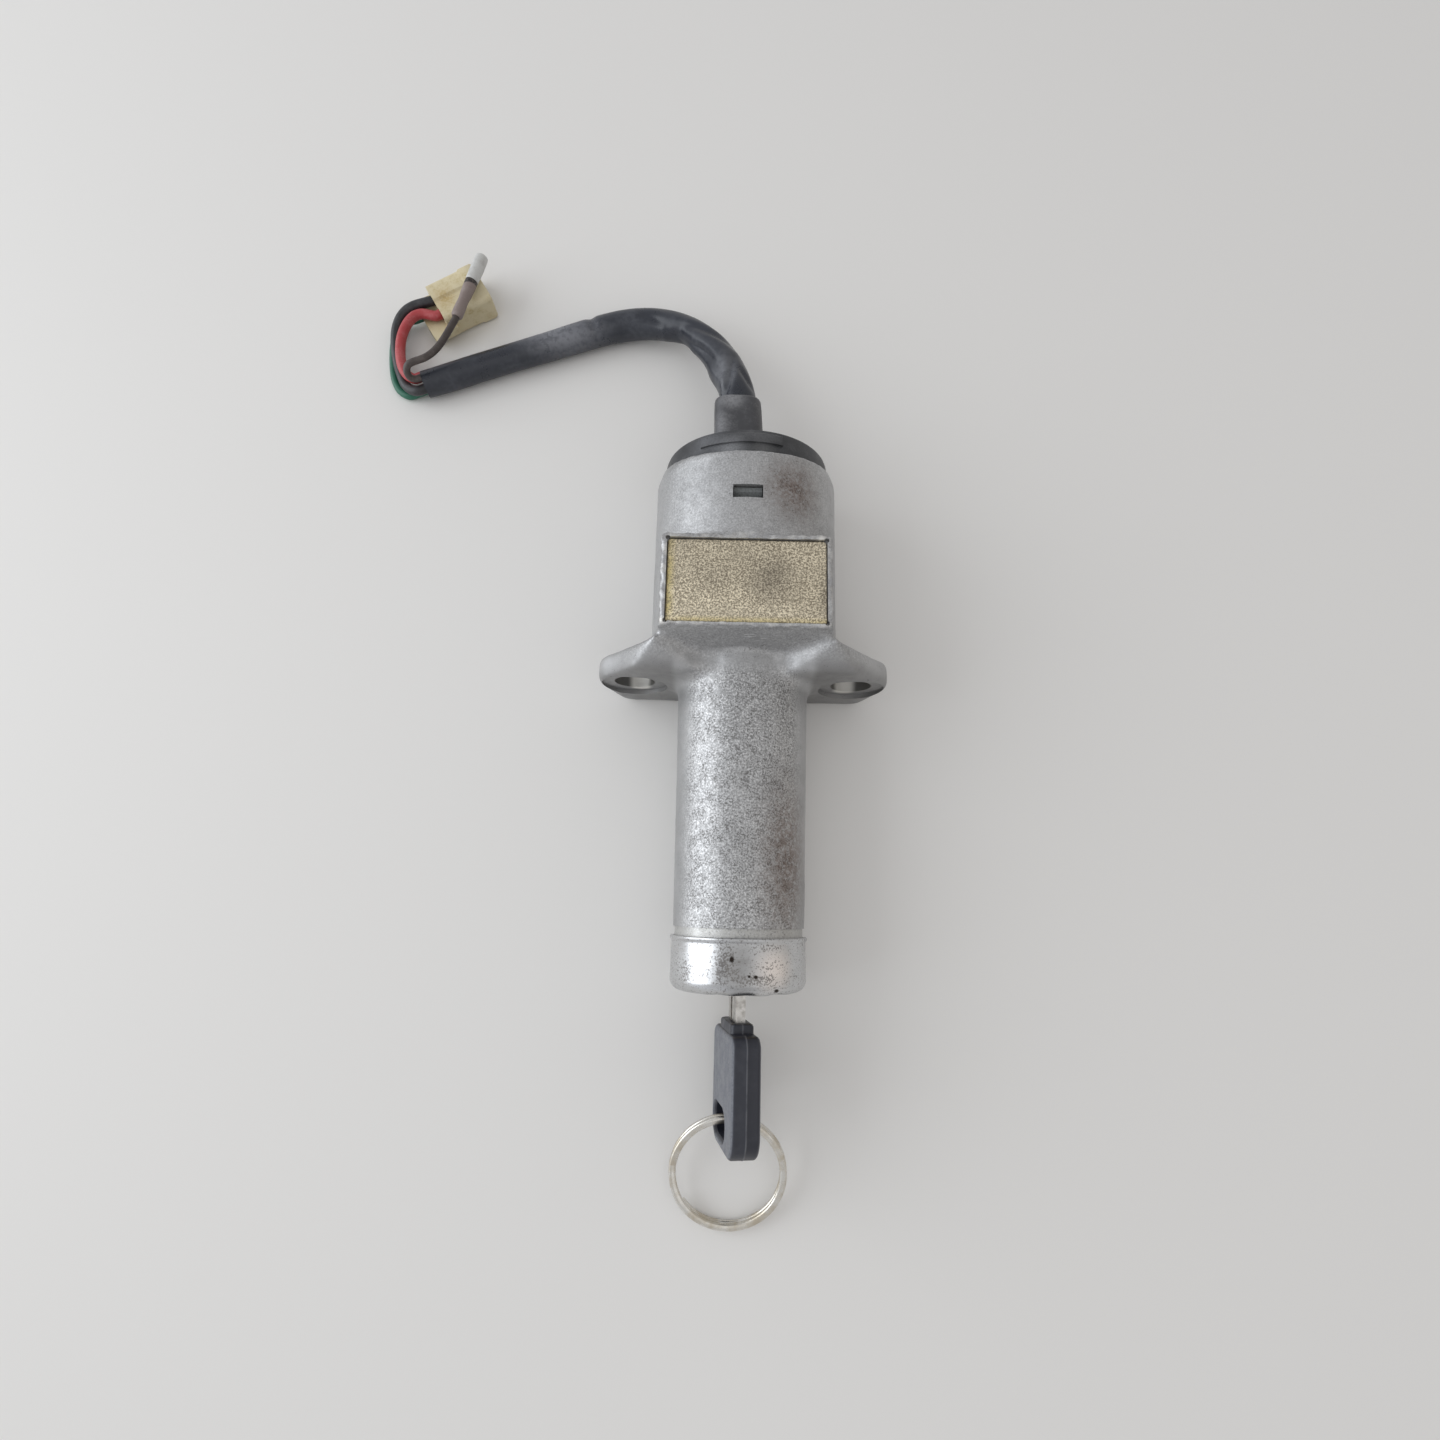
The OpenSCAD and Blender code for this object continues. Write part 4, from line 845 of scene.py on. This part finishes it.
def sleeve_radius(share, angle):
    """Loose and folded by the boot, pinched at the bend's inner side, tight towards its far end."""
    size = np.interp(share, SLEEVE_SHARES, SLEEVE_RADII) - fold_depth(share, angle)
    inner = max(0, math.cos(angle - INNER)) ** 2
    size += BULGE_RISE * inner * math.exp(-((share - BULGE_AT) / BULGE_REACH) ** 2)
    size -= PINCH_DEPTH * inner * max(0, 1 - abs(share - PINCH_AT) / PINCH_REACH)
    size -= KINK_DEPTH * max(0, math.cos(angle - TOP)) * max(0, 1 - abs(share - KINK_AT) / KINK_REACH)
    wave = 0.012 * math.sin(2 * angle + 31 * share) + 0.01 * math.sin(3 * angle - 19 * share)
    return max(LEAST_R, size * (1 + wave))


def make_cord(name, route, diameter, radius=None, steps=6, sides=20, mouth=None):
    line = [EXIT + p for p in spline(route, steps)]
    piece = sweep(name + "_skin", line, radius or (lambda share, angle: diameter / 2), sides, mouth=mouth)
    finish_piece(piece, "housing", "sleeve_vinyl" if name == "cable_sleeve" else name, name, 40)


make_cord("cable_sleeve", SLEEVE, SLEEVE_D, sleeve_radius, SLEEVE_STEPS, SLEEVE_SIDES,
          SLEEVE_MOUTH)
make_cord("wire_black", BLACK, WIRE_D)
make_cord("wire_red", RED, WIRE_D)
make_cord("wire_green", GREEN, GREEN_D)
make_cord("wire_brown", BROWN, BROWN_D)


# Housing, a zinc casting
FACE_Y, EAR_T, EAR_R, PAD_R = -1, 5, 8.3, 7.4
BODY_R, BARREL_R = 21, 14.5
BLOCK_HALF, BLOCK_Y = 17.8, 6.8
REAR_Y, REAR_R, TAPER_Y, REAR_LEAN = 50.8, 19.5, 46.4, math.radians(12)
FRONT_SLOPE = math.radians(67)
ROOT_FILLET, ROOT_IN, ROOT_TOP = 2.2, 13.5, 12
FOOT_X, FOOT_R = 26.5, 3
PAD_FRONT, BODY_CONE, BARREL_END = -4.2, 2.5, 4.6
NOSE_R, NOSE_EDGE, BARREL_FRONT_R = 11.8, 1.7, 13.95
BORE_R, WEB_BORE_R, CHAMBER_R, CHAMBER_Y = 10.5, 9, 18, 24.8
CHAMBER_FROM, CHAMBER_TURN = -44, 268
BORE_END, WEB_END, CLEAR_R = 2, 26, 20
SHAFT_X, SHAFT_Y, SHAFT_FLOOR, SHAFT_TOP, BOLT_HOLE_R = 10.7, 4.7, -10.1, 20.5, 4.58
WINDOW_LOW, WINDOW_HIGH = (-3.2, 35.3, 9), (3.2, 38.3, 30)
PLATE_CORNER, PLATE_GAP, CORNER_R, ABOVE = 0.6, 0.3, 0.5, 30
CAST_SIDES, CAST_VOXEL, CAST_ROUNDS, WING_ROUNDS, EAR_ROUNDS = 160, 0.45, 5, 50, 36
WORN_Y, WINGS, EARS, LIP_Z = 6.5, (4, 5, 20), (15, 4, 19), 20.4


def ear_outline():
    side = [(5, 13.2), (9, 13), (12.5, 14.9), (17.8, 18.2), (18.5, 20.1)]
    side += circle(HOLE_X, 0, EAR_R, 24, 52, -75)
    side += circle(FOOT_X, UNDERSIDE + FOOT_R, FOOT_R, 10, -2, -88)
    return side + [(-x, z) for x, z in reversed(side)]


def bevel(piece):
    """Cuts the flange's front edge back above the barrel."""
    trim(piece, (0, FACE_Y, BARREL_R - 1), (0, -1, 1))


def root_fillet():
    """Round root where the barrel meets the flange, cut by the flange's bevel."""
    outer, front = BARREL_R + ROOT_FILLET, FACE_Y - ROOT_FILLET
    arc = [(outer - ROOT_FILLET * math.cos(a), front + ROOT_FILLET * math.sin(a))
           for a in (math.radians(15 * i) for i in range(7))]
    inside = [(outer, 1), (ROOT_IN, 1)]
    ring = lathe("root", [(ROOT_IN, FACE_Y - 2.5)] + arc + inside, CAST_SIDES)
    bevel(ring)
    trim(ring, (0, 0, ROOT_TOP), (0, 0, 1))
    trim(ring, (0, 0, UNDERSIDE), (0, 0, -1))
    return ring


def cover_block():
    """Square block whose sides run tangent into the round body."""
    low = math.atan2(BLOCK_TOP, BLOCK_HALF) - math.acos(BODY_R / math.hypot(BLOCK_HALF, BLOCK_TOP))
    x, z = BODY_R * math.cos(low), BODY_R * math.sin(low)
    outline = [(0, 0), (x, z), (BLOCK_HALF, BLOCK_TOP), (-BLOCK_HALF, BLOCK_TOP), (-x, z)]
    return prism("block", outline, FACE_Y, BLOCK_END)


def casting():
    """The casting before it is machined: flange, body, block, barrel and root."""
    slope = (0, -math.sin(FRONT_SLOPE), math.cos(FRONT_SLOPE))
    flange = prism("flange", ear_outline(), FACE_Y, EAR_T)
    bevel(flange)
    profile = [(0, 0), (BODY_R, BODY_CONE), (BODY_R, TAPER_Y), (REAR_R, REAR_Y), (0, REAR_Y)]
    body = lathe("body", profile, CAST_SIDES)
    trim(body, (0, BLOCK_Y, BLOCK_TOP), slope)
    trim(body, (0, REAR_Y, 0), (0, math.cos(REAR_LEAN), math.sin(REAR_LEAN)))
    trim(body, (0, 0, UNDERSIDE), (0, 0, -1))
    block = cover_block()
    trim(block, (0, BLOCK_Y, BLOCK_TOP), slope)
    profile = [(0, NOSE_Y), (NOSE_R, NOSE_Y), (NECK_R, NOSE_Y + NOSE_EDGE),
               (BARREL_FRONT_R, NOSE_Y + NOSE_EDGE + 0.5), (BARREL_FRONT_R, NECK_Y),
               (BARREL_R, FACE_Y - ROOT_FILLET), (BARREL_R, BARREL_END), (0, BARREL_END)]
    barrel = lathe("barrel", profile, CAST_SIDES)
    return joined("housing_skin", [flange, body, block, barrel, root_fillet()])


def worn(start, reach, top):
    """Shares of smoothing that grow outwards from start, on the flange and below top."""
    def share(x, y, z):
        return min(1, max(0, (abs(x) - start) / reach)) if y < WORN_Y and z < top else 0
    return share


def cast_surface(place):
    """Waviness of the casting; the lips that hold the plate are beaten over it."""
    wave = 0.05 * ripple(place, 5) + 0.02 * ripple(place, 1.3, 2)
    if place.z > LIP_Z and place.y < BLOCK_END + 1:
        wave += 0.3 * ripple(place + Vector((3, 1, 0)), 1.2, 2)
    return wave


def bores():
    """Tools for the neck, the lock's bores, the bolt's shaft, the plate's recess and the snap window."""
    neck = [(NECK_R, NOSE_Y - 1), (CLEAR_R, NOSE_Y - 1), (CLEAR_R, NECK_Y), (NECK_R, NECK_Y)]
    recess = rounded(PLATE_W + PLATE_GAP, PLATE_L + PLATE_GAP, PLATE_CORNER, 0, PLATE_Y)
    return [
        lathe("neck", neck, CAST_SIDES),
        rod("bore", BORE_R, NOSE_Y - 1, BORE_END),
        rod("web_bore", WEB_BORE_R, BORE_END - 1, WEB_END),
        prism("chamber", circle(0, 0, CHAMBER_R, 80, CHAMBER_FROM, CHAMBER_TURN), CHAMBER_Y, REAR_Y + 1),
        box("shaft", (-SHAFT_X, PLATE_Y - SHAFT_Y, SHAFT_FLOOR), (SHAFT_X, PLATE_Y + SHAFT_Y, SHAFT_TOP)),
        prism("nose_hole", circle(0, PLATE_Y, BOLT_HOLE_R), UNDERSIDE - 1, 0, at_z),
        prism("recess", recess, PLATE_UNDER, ABOVE, at_z),
        box("window", WINDOW_LOW, WINDOW_HIGH),
    ]


def ear_holes(side):
    """Tools for one ear's hole and pad, and for the relieved corners of the recess on that side."""
    tools = [rod("hole", HOLE_R, PAD_FRONT, EAR_T + 0.3, side * HOLE_X),
             rod("pad", PAD_R, PAD_FRONT, 0, side * HOLE_X)]
    for end in (-1, 1):
        corner = circle(side * PLATE_W / 2, PLATE_Y + end * PLATE_L / 2, CORNER_R, 12)
        tools.append(prism("corner", corner, PLATE_UNDER + 0.6, ABOVE, at_z))
    return tools


def make_housing():
    skin = casting()
    remeshed(skin, CAST_VOXEL, CAST_ROUNDS)
    soften(skin, worn(*WINGS), WING_ROUNDS)
    soften(skin, worn(*EARS), EAR_ROUNDS)
    displace(skin, cast_surface)
    combine(skin, bores() + ear_holes(-1) + ear_holes(1), "DIFFERENCE")
    finish_piece(skin, "housing", "zinc_casting", "housing", 38)


make_housing()


# Cover plate, peened into the block
def make_plate():
    top = PLATE_UNDER + PLATE_T
    stations = ((0, PLATE_UNDER), (0, top - 0.3), (0.08, top - 0.1), (0.35, top))
    loops = [at_z(rounded(PLATE_W - 2 * inset, PLATE_L - 2 * inset, PLATE_CORNER, 0, PLATE_Y), z)
             for inset, z in stations]
    finish_piece(loft("plate_skin", loops), "housing", "gold_plate", "cover_plate", 50)


make_plate()


# Bolt spring between the bolt's pocket and the plate
SPRING_FOOT, SPRING_TOP, SPRING_R, SPRING_WIRE, SPRING_TURNS = 5.02, 19.28, 3, 0.9, 6
SPRING_STEPS = 24 * SPRING_TURNS


def make_bolt_spring():
    """Coil that the sliding bolt presses, built at one length."""
    rise = SPRING_TOP - SPRING_FOOT - SPRING_WIRE
    line = []
    for i in range(SPRING_STEPS + 1):
        a = 2 * math.pi * SPRING_TURNS * i / SPRING_STEPS
        height = SPRING_FOOT + SPRING_WIRE / 2 + rise * i / SPRING_STEPS
        line.append(np.array((SPRING_R * math.cos(a), PLATE_Y + SPRING_R * math.sin(a), height)))
    piece = sweep("bolt_spring_skin", line, lambda share, angle: SPRING_WIRE / 2, 12)
    finish_piece(piece, None, "spring_steel", "bolt_spring", 50)
    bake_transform(piece)


make_bolt_spring()


# Barrel cap, pressed from sheet
CAP_RIM_Y, CAP_FRONT_Y, CAP_R, CAP_EDGE, CAP_HOLE_R, CAP_SIDES = -55.3, -66.3, 14.25, 2.4, 8, 180
PUNCH_R = 0.5
# Knocks on the front edge: X, Y and depth
KNOCKS = ((7.4, -65.3, 0.35), (-4, -65.6, 0.22), (1.5, -65.9, 0.18), (11, -64.6, 0.2))


def cap_dents(place):
    """Slow waves all round, with a few knocks on the front edge."""
    wave = 0.07 * ripple(place, 9, 2)
    for x, y, depth in KNOCKS:
        if place.z > 0:
            wave -= depth * math.exp(-((place.x - x) ** 2 + (place.y - y) ** 2) / 2.2)
    return wave


def cap_profile():
    """Rolled rim, wall, rounded front edge, face with its hole, and the inside on the housing's nose."""
    rim = [(13.6, CAP_RIM_Y), (14.35, CAP_RIM_Y), (14.52, CAP_RIM_Y - 0.15), (14.55, CAP_RIM_Y - 0.45),
           (14.42, CAP_RIM_Y - 0.75), (CAP_R - 0.05, CAP_RIM_Y - 1)]
    wall = [(CAP_R - 0.06, CAP_RIM_Y - 1.3 - 0.9 * i) for i in range(8)]
    edge = [(CAP_R - CAP_EDGE + CAP_EDGE * math.cos(a), CAP_FRONT_Y + CAP_EDGE - CAP_EDGE * math.sin(a))
            for a in (math.radians(10 * i) for i in range(10))]
    face = [(10.5, CAP_FRONT_Y), (9.2, CAP_FRONT_Y), (8.3, CAP_FRONT_Y), (CAP_HOLE_R, CAP_FRONT_Y + 0.2),
            (CAP_HOLE_R, CAP_FRONT_Y + 0.55), (8.2, NOSE_Y)]
    inside = [(11.75, NOSE_Y), (NECK_R + 0.02, NOSE_Y + 1.75)]
    return rim + wall + edge + face + inside


def make_cap():
    piece = lathe("cap_skin", cap_profile(), CAP_SIDES)
    displace(piece, cap_dents)
    punch = prism("punch", circle(*PUNCH, PUNCH_R, 20), CAP_R - 0.5, CAP_R + 2, at_z)
    combine(piece, [punch], "DIFFERENCE")
    finish_piece(piece, "housing", "plated_cap", "barrel_cap", 40)


make_cap()


# Rear cover and cable boot
COVER_R, COVER_Y, COVER_END, COVER_WALL, COVER_SIDES = 19.1, 49.3, 52.8, 1.2, 120
COVER_GAP, POCKET_R, BOOT_HOLE_R, BOOT_X = 0.03, 10.6, 4.9, -2
LATCH_RISE, LATCH_LEFT, LATCH_RIGHT, LATCH_LOW = 0.5, -10.5, 7.5, 9


def cover_disc(name, front):
    profile = [(0, front), (COVER_R, front), (COVER_R, COVER_END - 0.9), (COVER_R - 0.2, COVER_END - 0.35),
               (COVER_R - 0.8, COVER_END), (0, COVER_END)]
    return lathe(name, profile, COVER_SIDES)


def cover_latch():
    outer, back = COVER_R + LATCH_RISE, COVER_END - 1.2
    profile = [(COVER_R - 2, COVER_Y), (outer, COVER_Y), (outer, back - 0.3), (outer - 0.3, back),
               (COVER_R - 2, back)]
    latch = lathe("lug", profile, COVER_SIDES)
    trim(latch, (LATCH_LEFT, 0, 0), (-1, 0, 0))
    trim(latch, (LATCH_RIGHT, 0, 0), (1, 0, 0))
    trim(latch, (0, 0, LATCH_LOW), (0, 0, -1))
    return latch


def make_rear_cover():
    """Disc behind the housing's rim, reaching forward over its slanted top, with a latch lug."""
    seat = REAR_Y + COVER_GAP
    cover = cover_disc("rear_cover_skin", COVER_Y)
    trim(cover, (0, seat, 0), (0, -math.cos(REAR_LEAN), -math.sin(REAR_LEAN)))
    latch = cover_latch()
    combine(cover, [cover_disc("flat", seat), latch], "UNION")
    tools = [rod("pocket", POCKET_R, COVER_Y - 1, COVER_END - COVER_WALL),
             rod("boot_hole", BOOT_HOLE_R, COVER_Y, COVER_END + 1, BOOT_X),
             box("foot", (-30, COVER_Y - 1, UNDERSIDE - 10), (30, COVER_END + 1, UNDERSIDE + 0.3))]
    combine(cover, tools, "DIFFERENCE")
    finish_piece(cover, "housing", "black_plastic", "rear_cover", 35)


def make_boot():
    """Square rubber boot, its shoulders drawn in round the sleeve; stations: Y, width, corner, lean."""
    stations = ((50.4, 9, 4.4, 0), (COVER_END, 9, 4.4, 0), (COVER_END + 0.05, 12, 3.2, 0),
                (55, 11.8, 3.2, 0), (62, 11.7, 3.1, -0.1), (67.2, 11.5, 3, -0.3), (69.6, 11.3, 3, -0.4),
                (70.2, 11, 3.1, -0.45), (70.5, 10.4, 3.3, -0.5), (70.6, 9.4, 3.6, -0.5),
                (70.4, 8.6, 4, -0.5))
    loops = [at_y(rounded(width, width, corner, BOOT_X + lean), y) for y, width, corner, lean in stations]
    finish_piece(loft("boot_skin", loops), "housing", "boot_rubber", "cable_boot", 45)


make_rear_cover()
make_boot()


# Key and its ring
KEY = Matrix.Rotation(KEY_LEAN, 4, "Y")
HEAD_Y, HEAD_END, HEAD_W, HEAD_EDGE = -74.1, -97.1, 22, 0.9
FRONT_CORNER, BACK_CORNER = 2.5, 5
SEAM_HALF, SEAM_RISE = 0.14, 0.07
COLLAR_L, COLLAR_W, COLLAR_T = 1.8, 12.5, 4.8
SLOT_Y, SLOT_Z, SLOT_W, SLOT_L = -92.3, -3, 6, 13
TANG_HALF_T, TANG_HALF_W = 1.03, 3.83
RING_R, RING_WIDE, RING_HIGH = 11.75, 1.5, 2.2
RING_CENTRE = np.array((-1.18, -103.99, -9.945))
RING_TILT = math.radians(16.05)
RING_GAP, RING_TURN, RING_CROSS, RING_STEP = 193, 338, 20, 4


def head_outline(inset):
    """Outline of the key head in Y and Z, with its smaller corners beside the blade."""
    corners = ((HEAD_Y, FRONT_CORNER, -1, 1, 0), (HEAD_END, BACK_CORNER, 1, 1, 90),
               (HEAD_END, BACK_CORNER, 1, -1, 180), (HEAD_Y, FRONT_CORNER, -1, -1, 270))
    outline = []
    for y, r, toward, side, start in corners:
        outline += circle(y + toward * r, side * (HEAD_W / 2 - r), r - inset, 9, start, 90)
    return outline


def key_collar():
    stations = ((-1, 0), (COLLAR_L - 0.5, 0), (COLLAR_L - 0.12, 0.15), (COLLAR_L, 0.4))
    return loft("collar", [at_y(rounded(COLLAR_T - 2 * inset, COLLAR_W - 2 * inset, 1), HEAD_Y + y)
                           for y, inset in stations])


def ring_slot():
    """Long hole with flared mouths."""
    loops = []
    for x, flare in ((-4, 2.6), (-2.2, 0), (2.2, 0), (4, 2.6)):
        corner = SLOT_W / 2 + flare / 2 - 0.01
        loops.append(at_x(rounded(SLOT_W + flare, SLOT_L + flare, corner, SLOT_Y, SLOT_Z, 12), x))
    return loft("slot", loops)


def make_key_head():
    edge = [(HEAD_T / 2 - HEAD_EDGE * (1 - math.cos(a)), HEAD_EDGE * (1 - math.sin(a)))
            for a in (math.radians(15 * i) for i in range(7))]
    seam = [(SEAM_HALF, 0), (0, -SEAM_RISE), (-SEAM_HALF, 0)]
    stations = edge + seam + [(-x, inset) for x, inset in reversed(edge)]
    piece = loft("key_head_skin", [at_x(head_outline(inset), x) for x, inset in stations])
    combine(piece, [key_collar()], "UNION")
    tang = box("tang", (-TANG_HALF_T, HEAD_Y + COLLAR_L - 8, -TANG_HALF_W),
               (TANG_HALF_T, HEAD_Y + 5, TANG_HALF_W))
    combine(piece, [ring_slot(), tang], "DIFFERENCE")
    moved(piece, KEY)
    finish_piece(piece, "key", "key_plastic", "key_head", 35)


def make_key_ring():
    """Two turns of flat wire; each end stops short of where the other turn steps across."""
    across = np.array((1, 0, 0))
    back = np.array((0, math.cos(RING_TILT), math.sin(RING_TILT)))
    up = np.cross(across, back)
    line = []
    for degree in range(-RING_TURN, RING_TURN + 1, RING_STEP):
        a = math.radians(RING_GAP + degree)
        lift = RING_HIGH / 4 * np.interp(degree, (-RING_CROSS, RING_CROSS), (-1, 1))
        line.append(RING_CENTRE + RING_R * (math.cos(a) * across + math.sin(a) * back) + lift * up)

    def radius(share, angle):
        wide, high = RING_WIDE / 2, RING_HIGH / 4 - 0.01
        return ((abs(math.cos(angle)) / wide) ** 3 + (abs(math.sin(angle)) / high) ** 3) ** (-1 / 3)

    piece = sweep("key_ring_skin", line, radius, 20, up)
    finish_piece(piece, "key_ring", "ring_nickel", "key_ring", 40)


make_key_head()
make_key_ring()


# Materials of the CAD nodes
SLOTS = {row["node"]: row["material_slot"] for row in frame["record"]["subparts"]}
for name, node in nodes.items():
    node.data.materials.clear()
    node.data.materials.append(MATERIALS[SLOTS[name]])


# Floor in millimetres, lamps by name, place and size in metres, watts and tint, and the room's tones
FLOOR_Z, FLOOR_HALF, FLOOR_TONE, FLOOR_ROUGH = -14.52, 1200, (0.80, 0.785, 0.76), 0.6
LAMPS = (
    ("window", (-0.7, 0.05, 0.3), 0.75, 3.3, (0.92, 0.96, 1)),
    ("ceiling", (0.15, -0.2, 0.9), 0.9, 0.8, (1, 1, 1)),
    ("fill", (0.6, -0.3, 0.45), 0.6, 0.1, (1, 0.97, 0.93)),
)
LEFT_WALL, RIGHT_WALL, OVERHEAD = (0.88, 0.91, 0.97), (0.50, 0.475, 0.45), (0.50, 0.50, 0.505)


def make_floor():
    corners = ((-1, -1), (1, -1), (1, 1), (-1, 1))
    points = [(x * FLOOR_HALF, y * FLOOR_HALF, FLOOR_Z) for x, y in corners]
    floor = from_points("floor", points, [(0, 1, 2, 3)])
    floor.data.materials.append(surface("floor").set(FLOOR_TONE, FLOOR_ROUGH))


def make_lamps():
    for name, place, size, power, tint in LAMPS:
        light = bpy.data.lights.new(name, "AREA")
        light.shape = "SQUARE"
        light.size = size
        light.energy = power
        light.color = tint
        lamp = bpy.data.objects.new(name, light)
        lamp.location = place
        lamp.rotation_euler = (-Vector(place)).to_track_quat("-Z", "Y").to_euler()
        scene.collection.objects.link(lamp)


def make_sky():
    """Pale room: a bright cool side at the left, a dim warm one at the right, duller overhead."""
    scene.world = bpy.data.worlds.new("world")
    g = Graph(scene.world, "Generated", 1)
    side = g.add("ShaderNodeMapRange", {0: g.axis("X"), 1: -1})[0]
    walls = g.mix(side, LEFT_WALL, RIGHT_WALL)
    g.put(g.mix(g.axis("Z"), walls, OVERHEAD), g.tree.nodes["Background"].inputs["Color"])


make_floor()
make_lamps()
make_sky()
scene.view_settings.view_transform = "Standard"
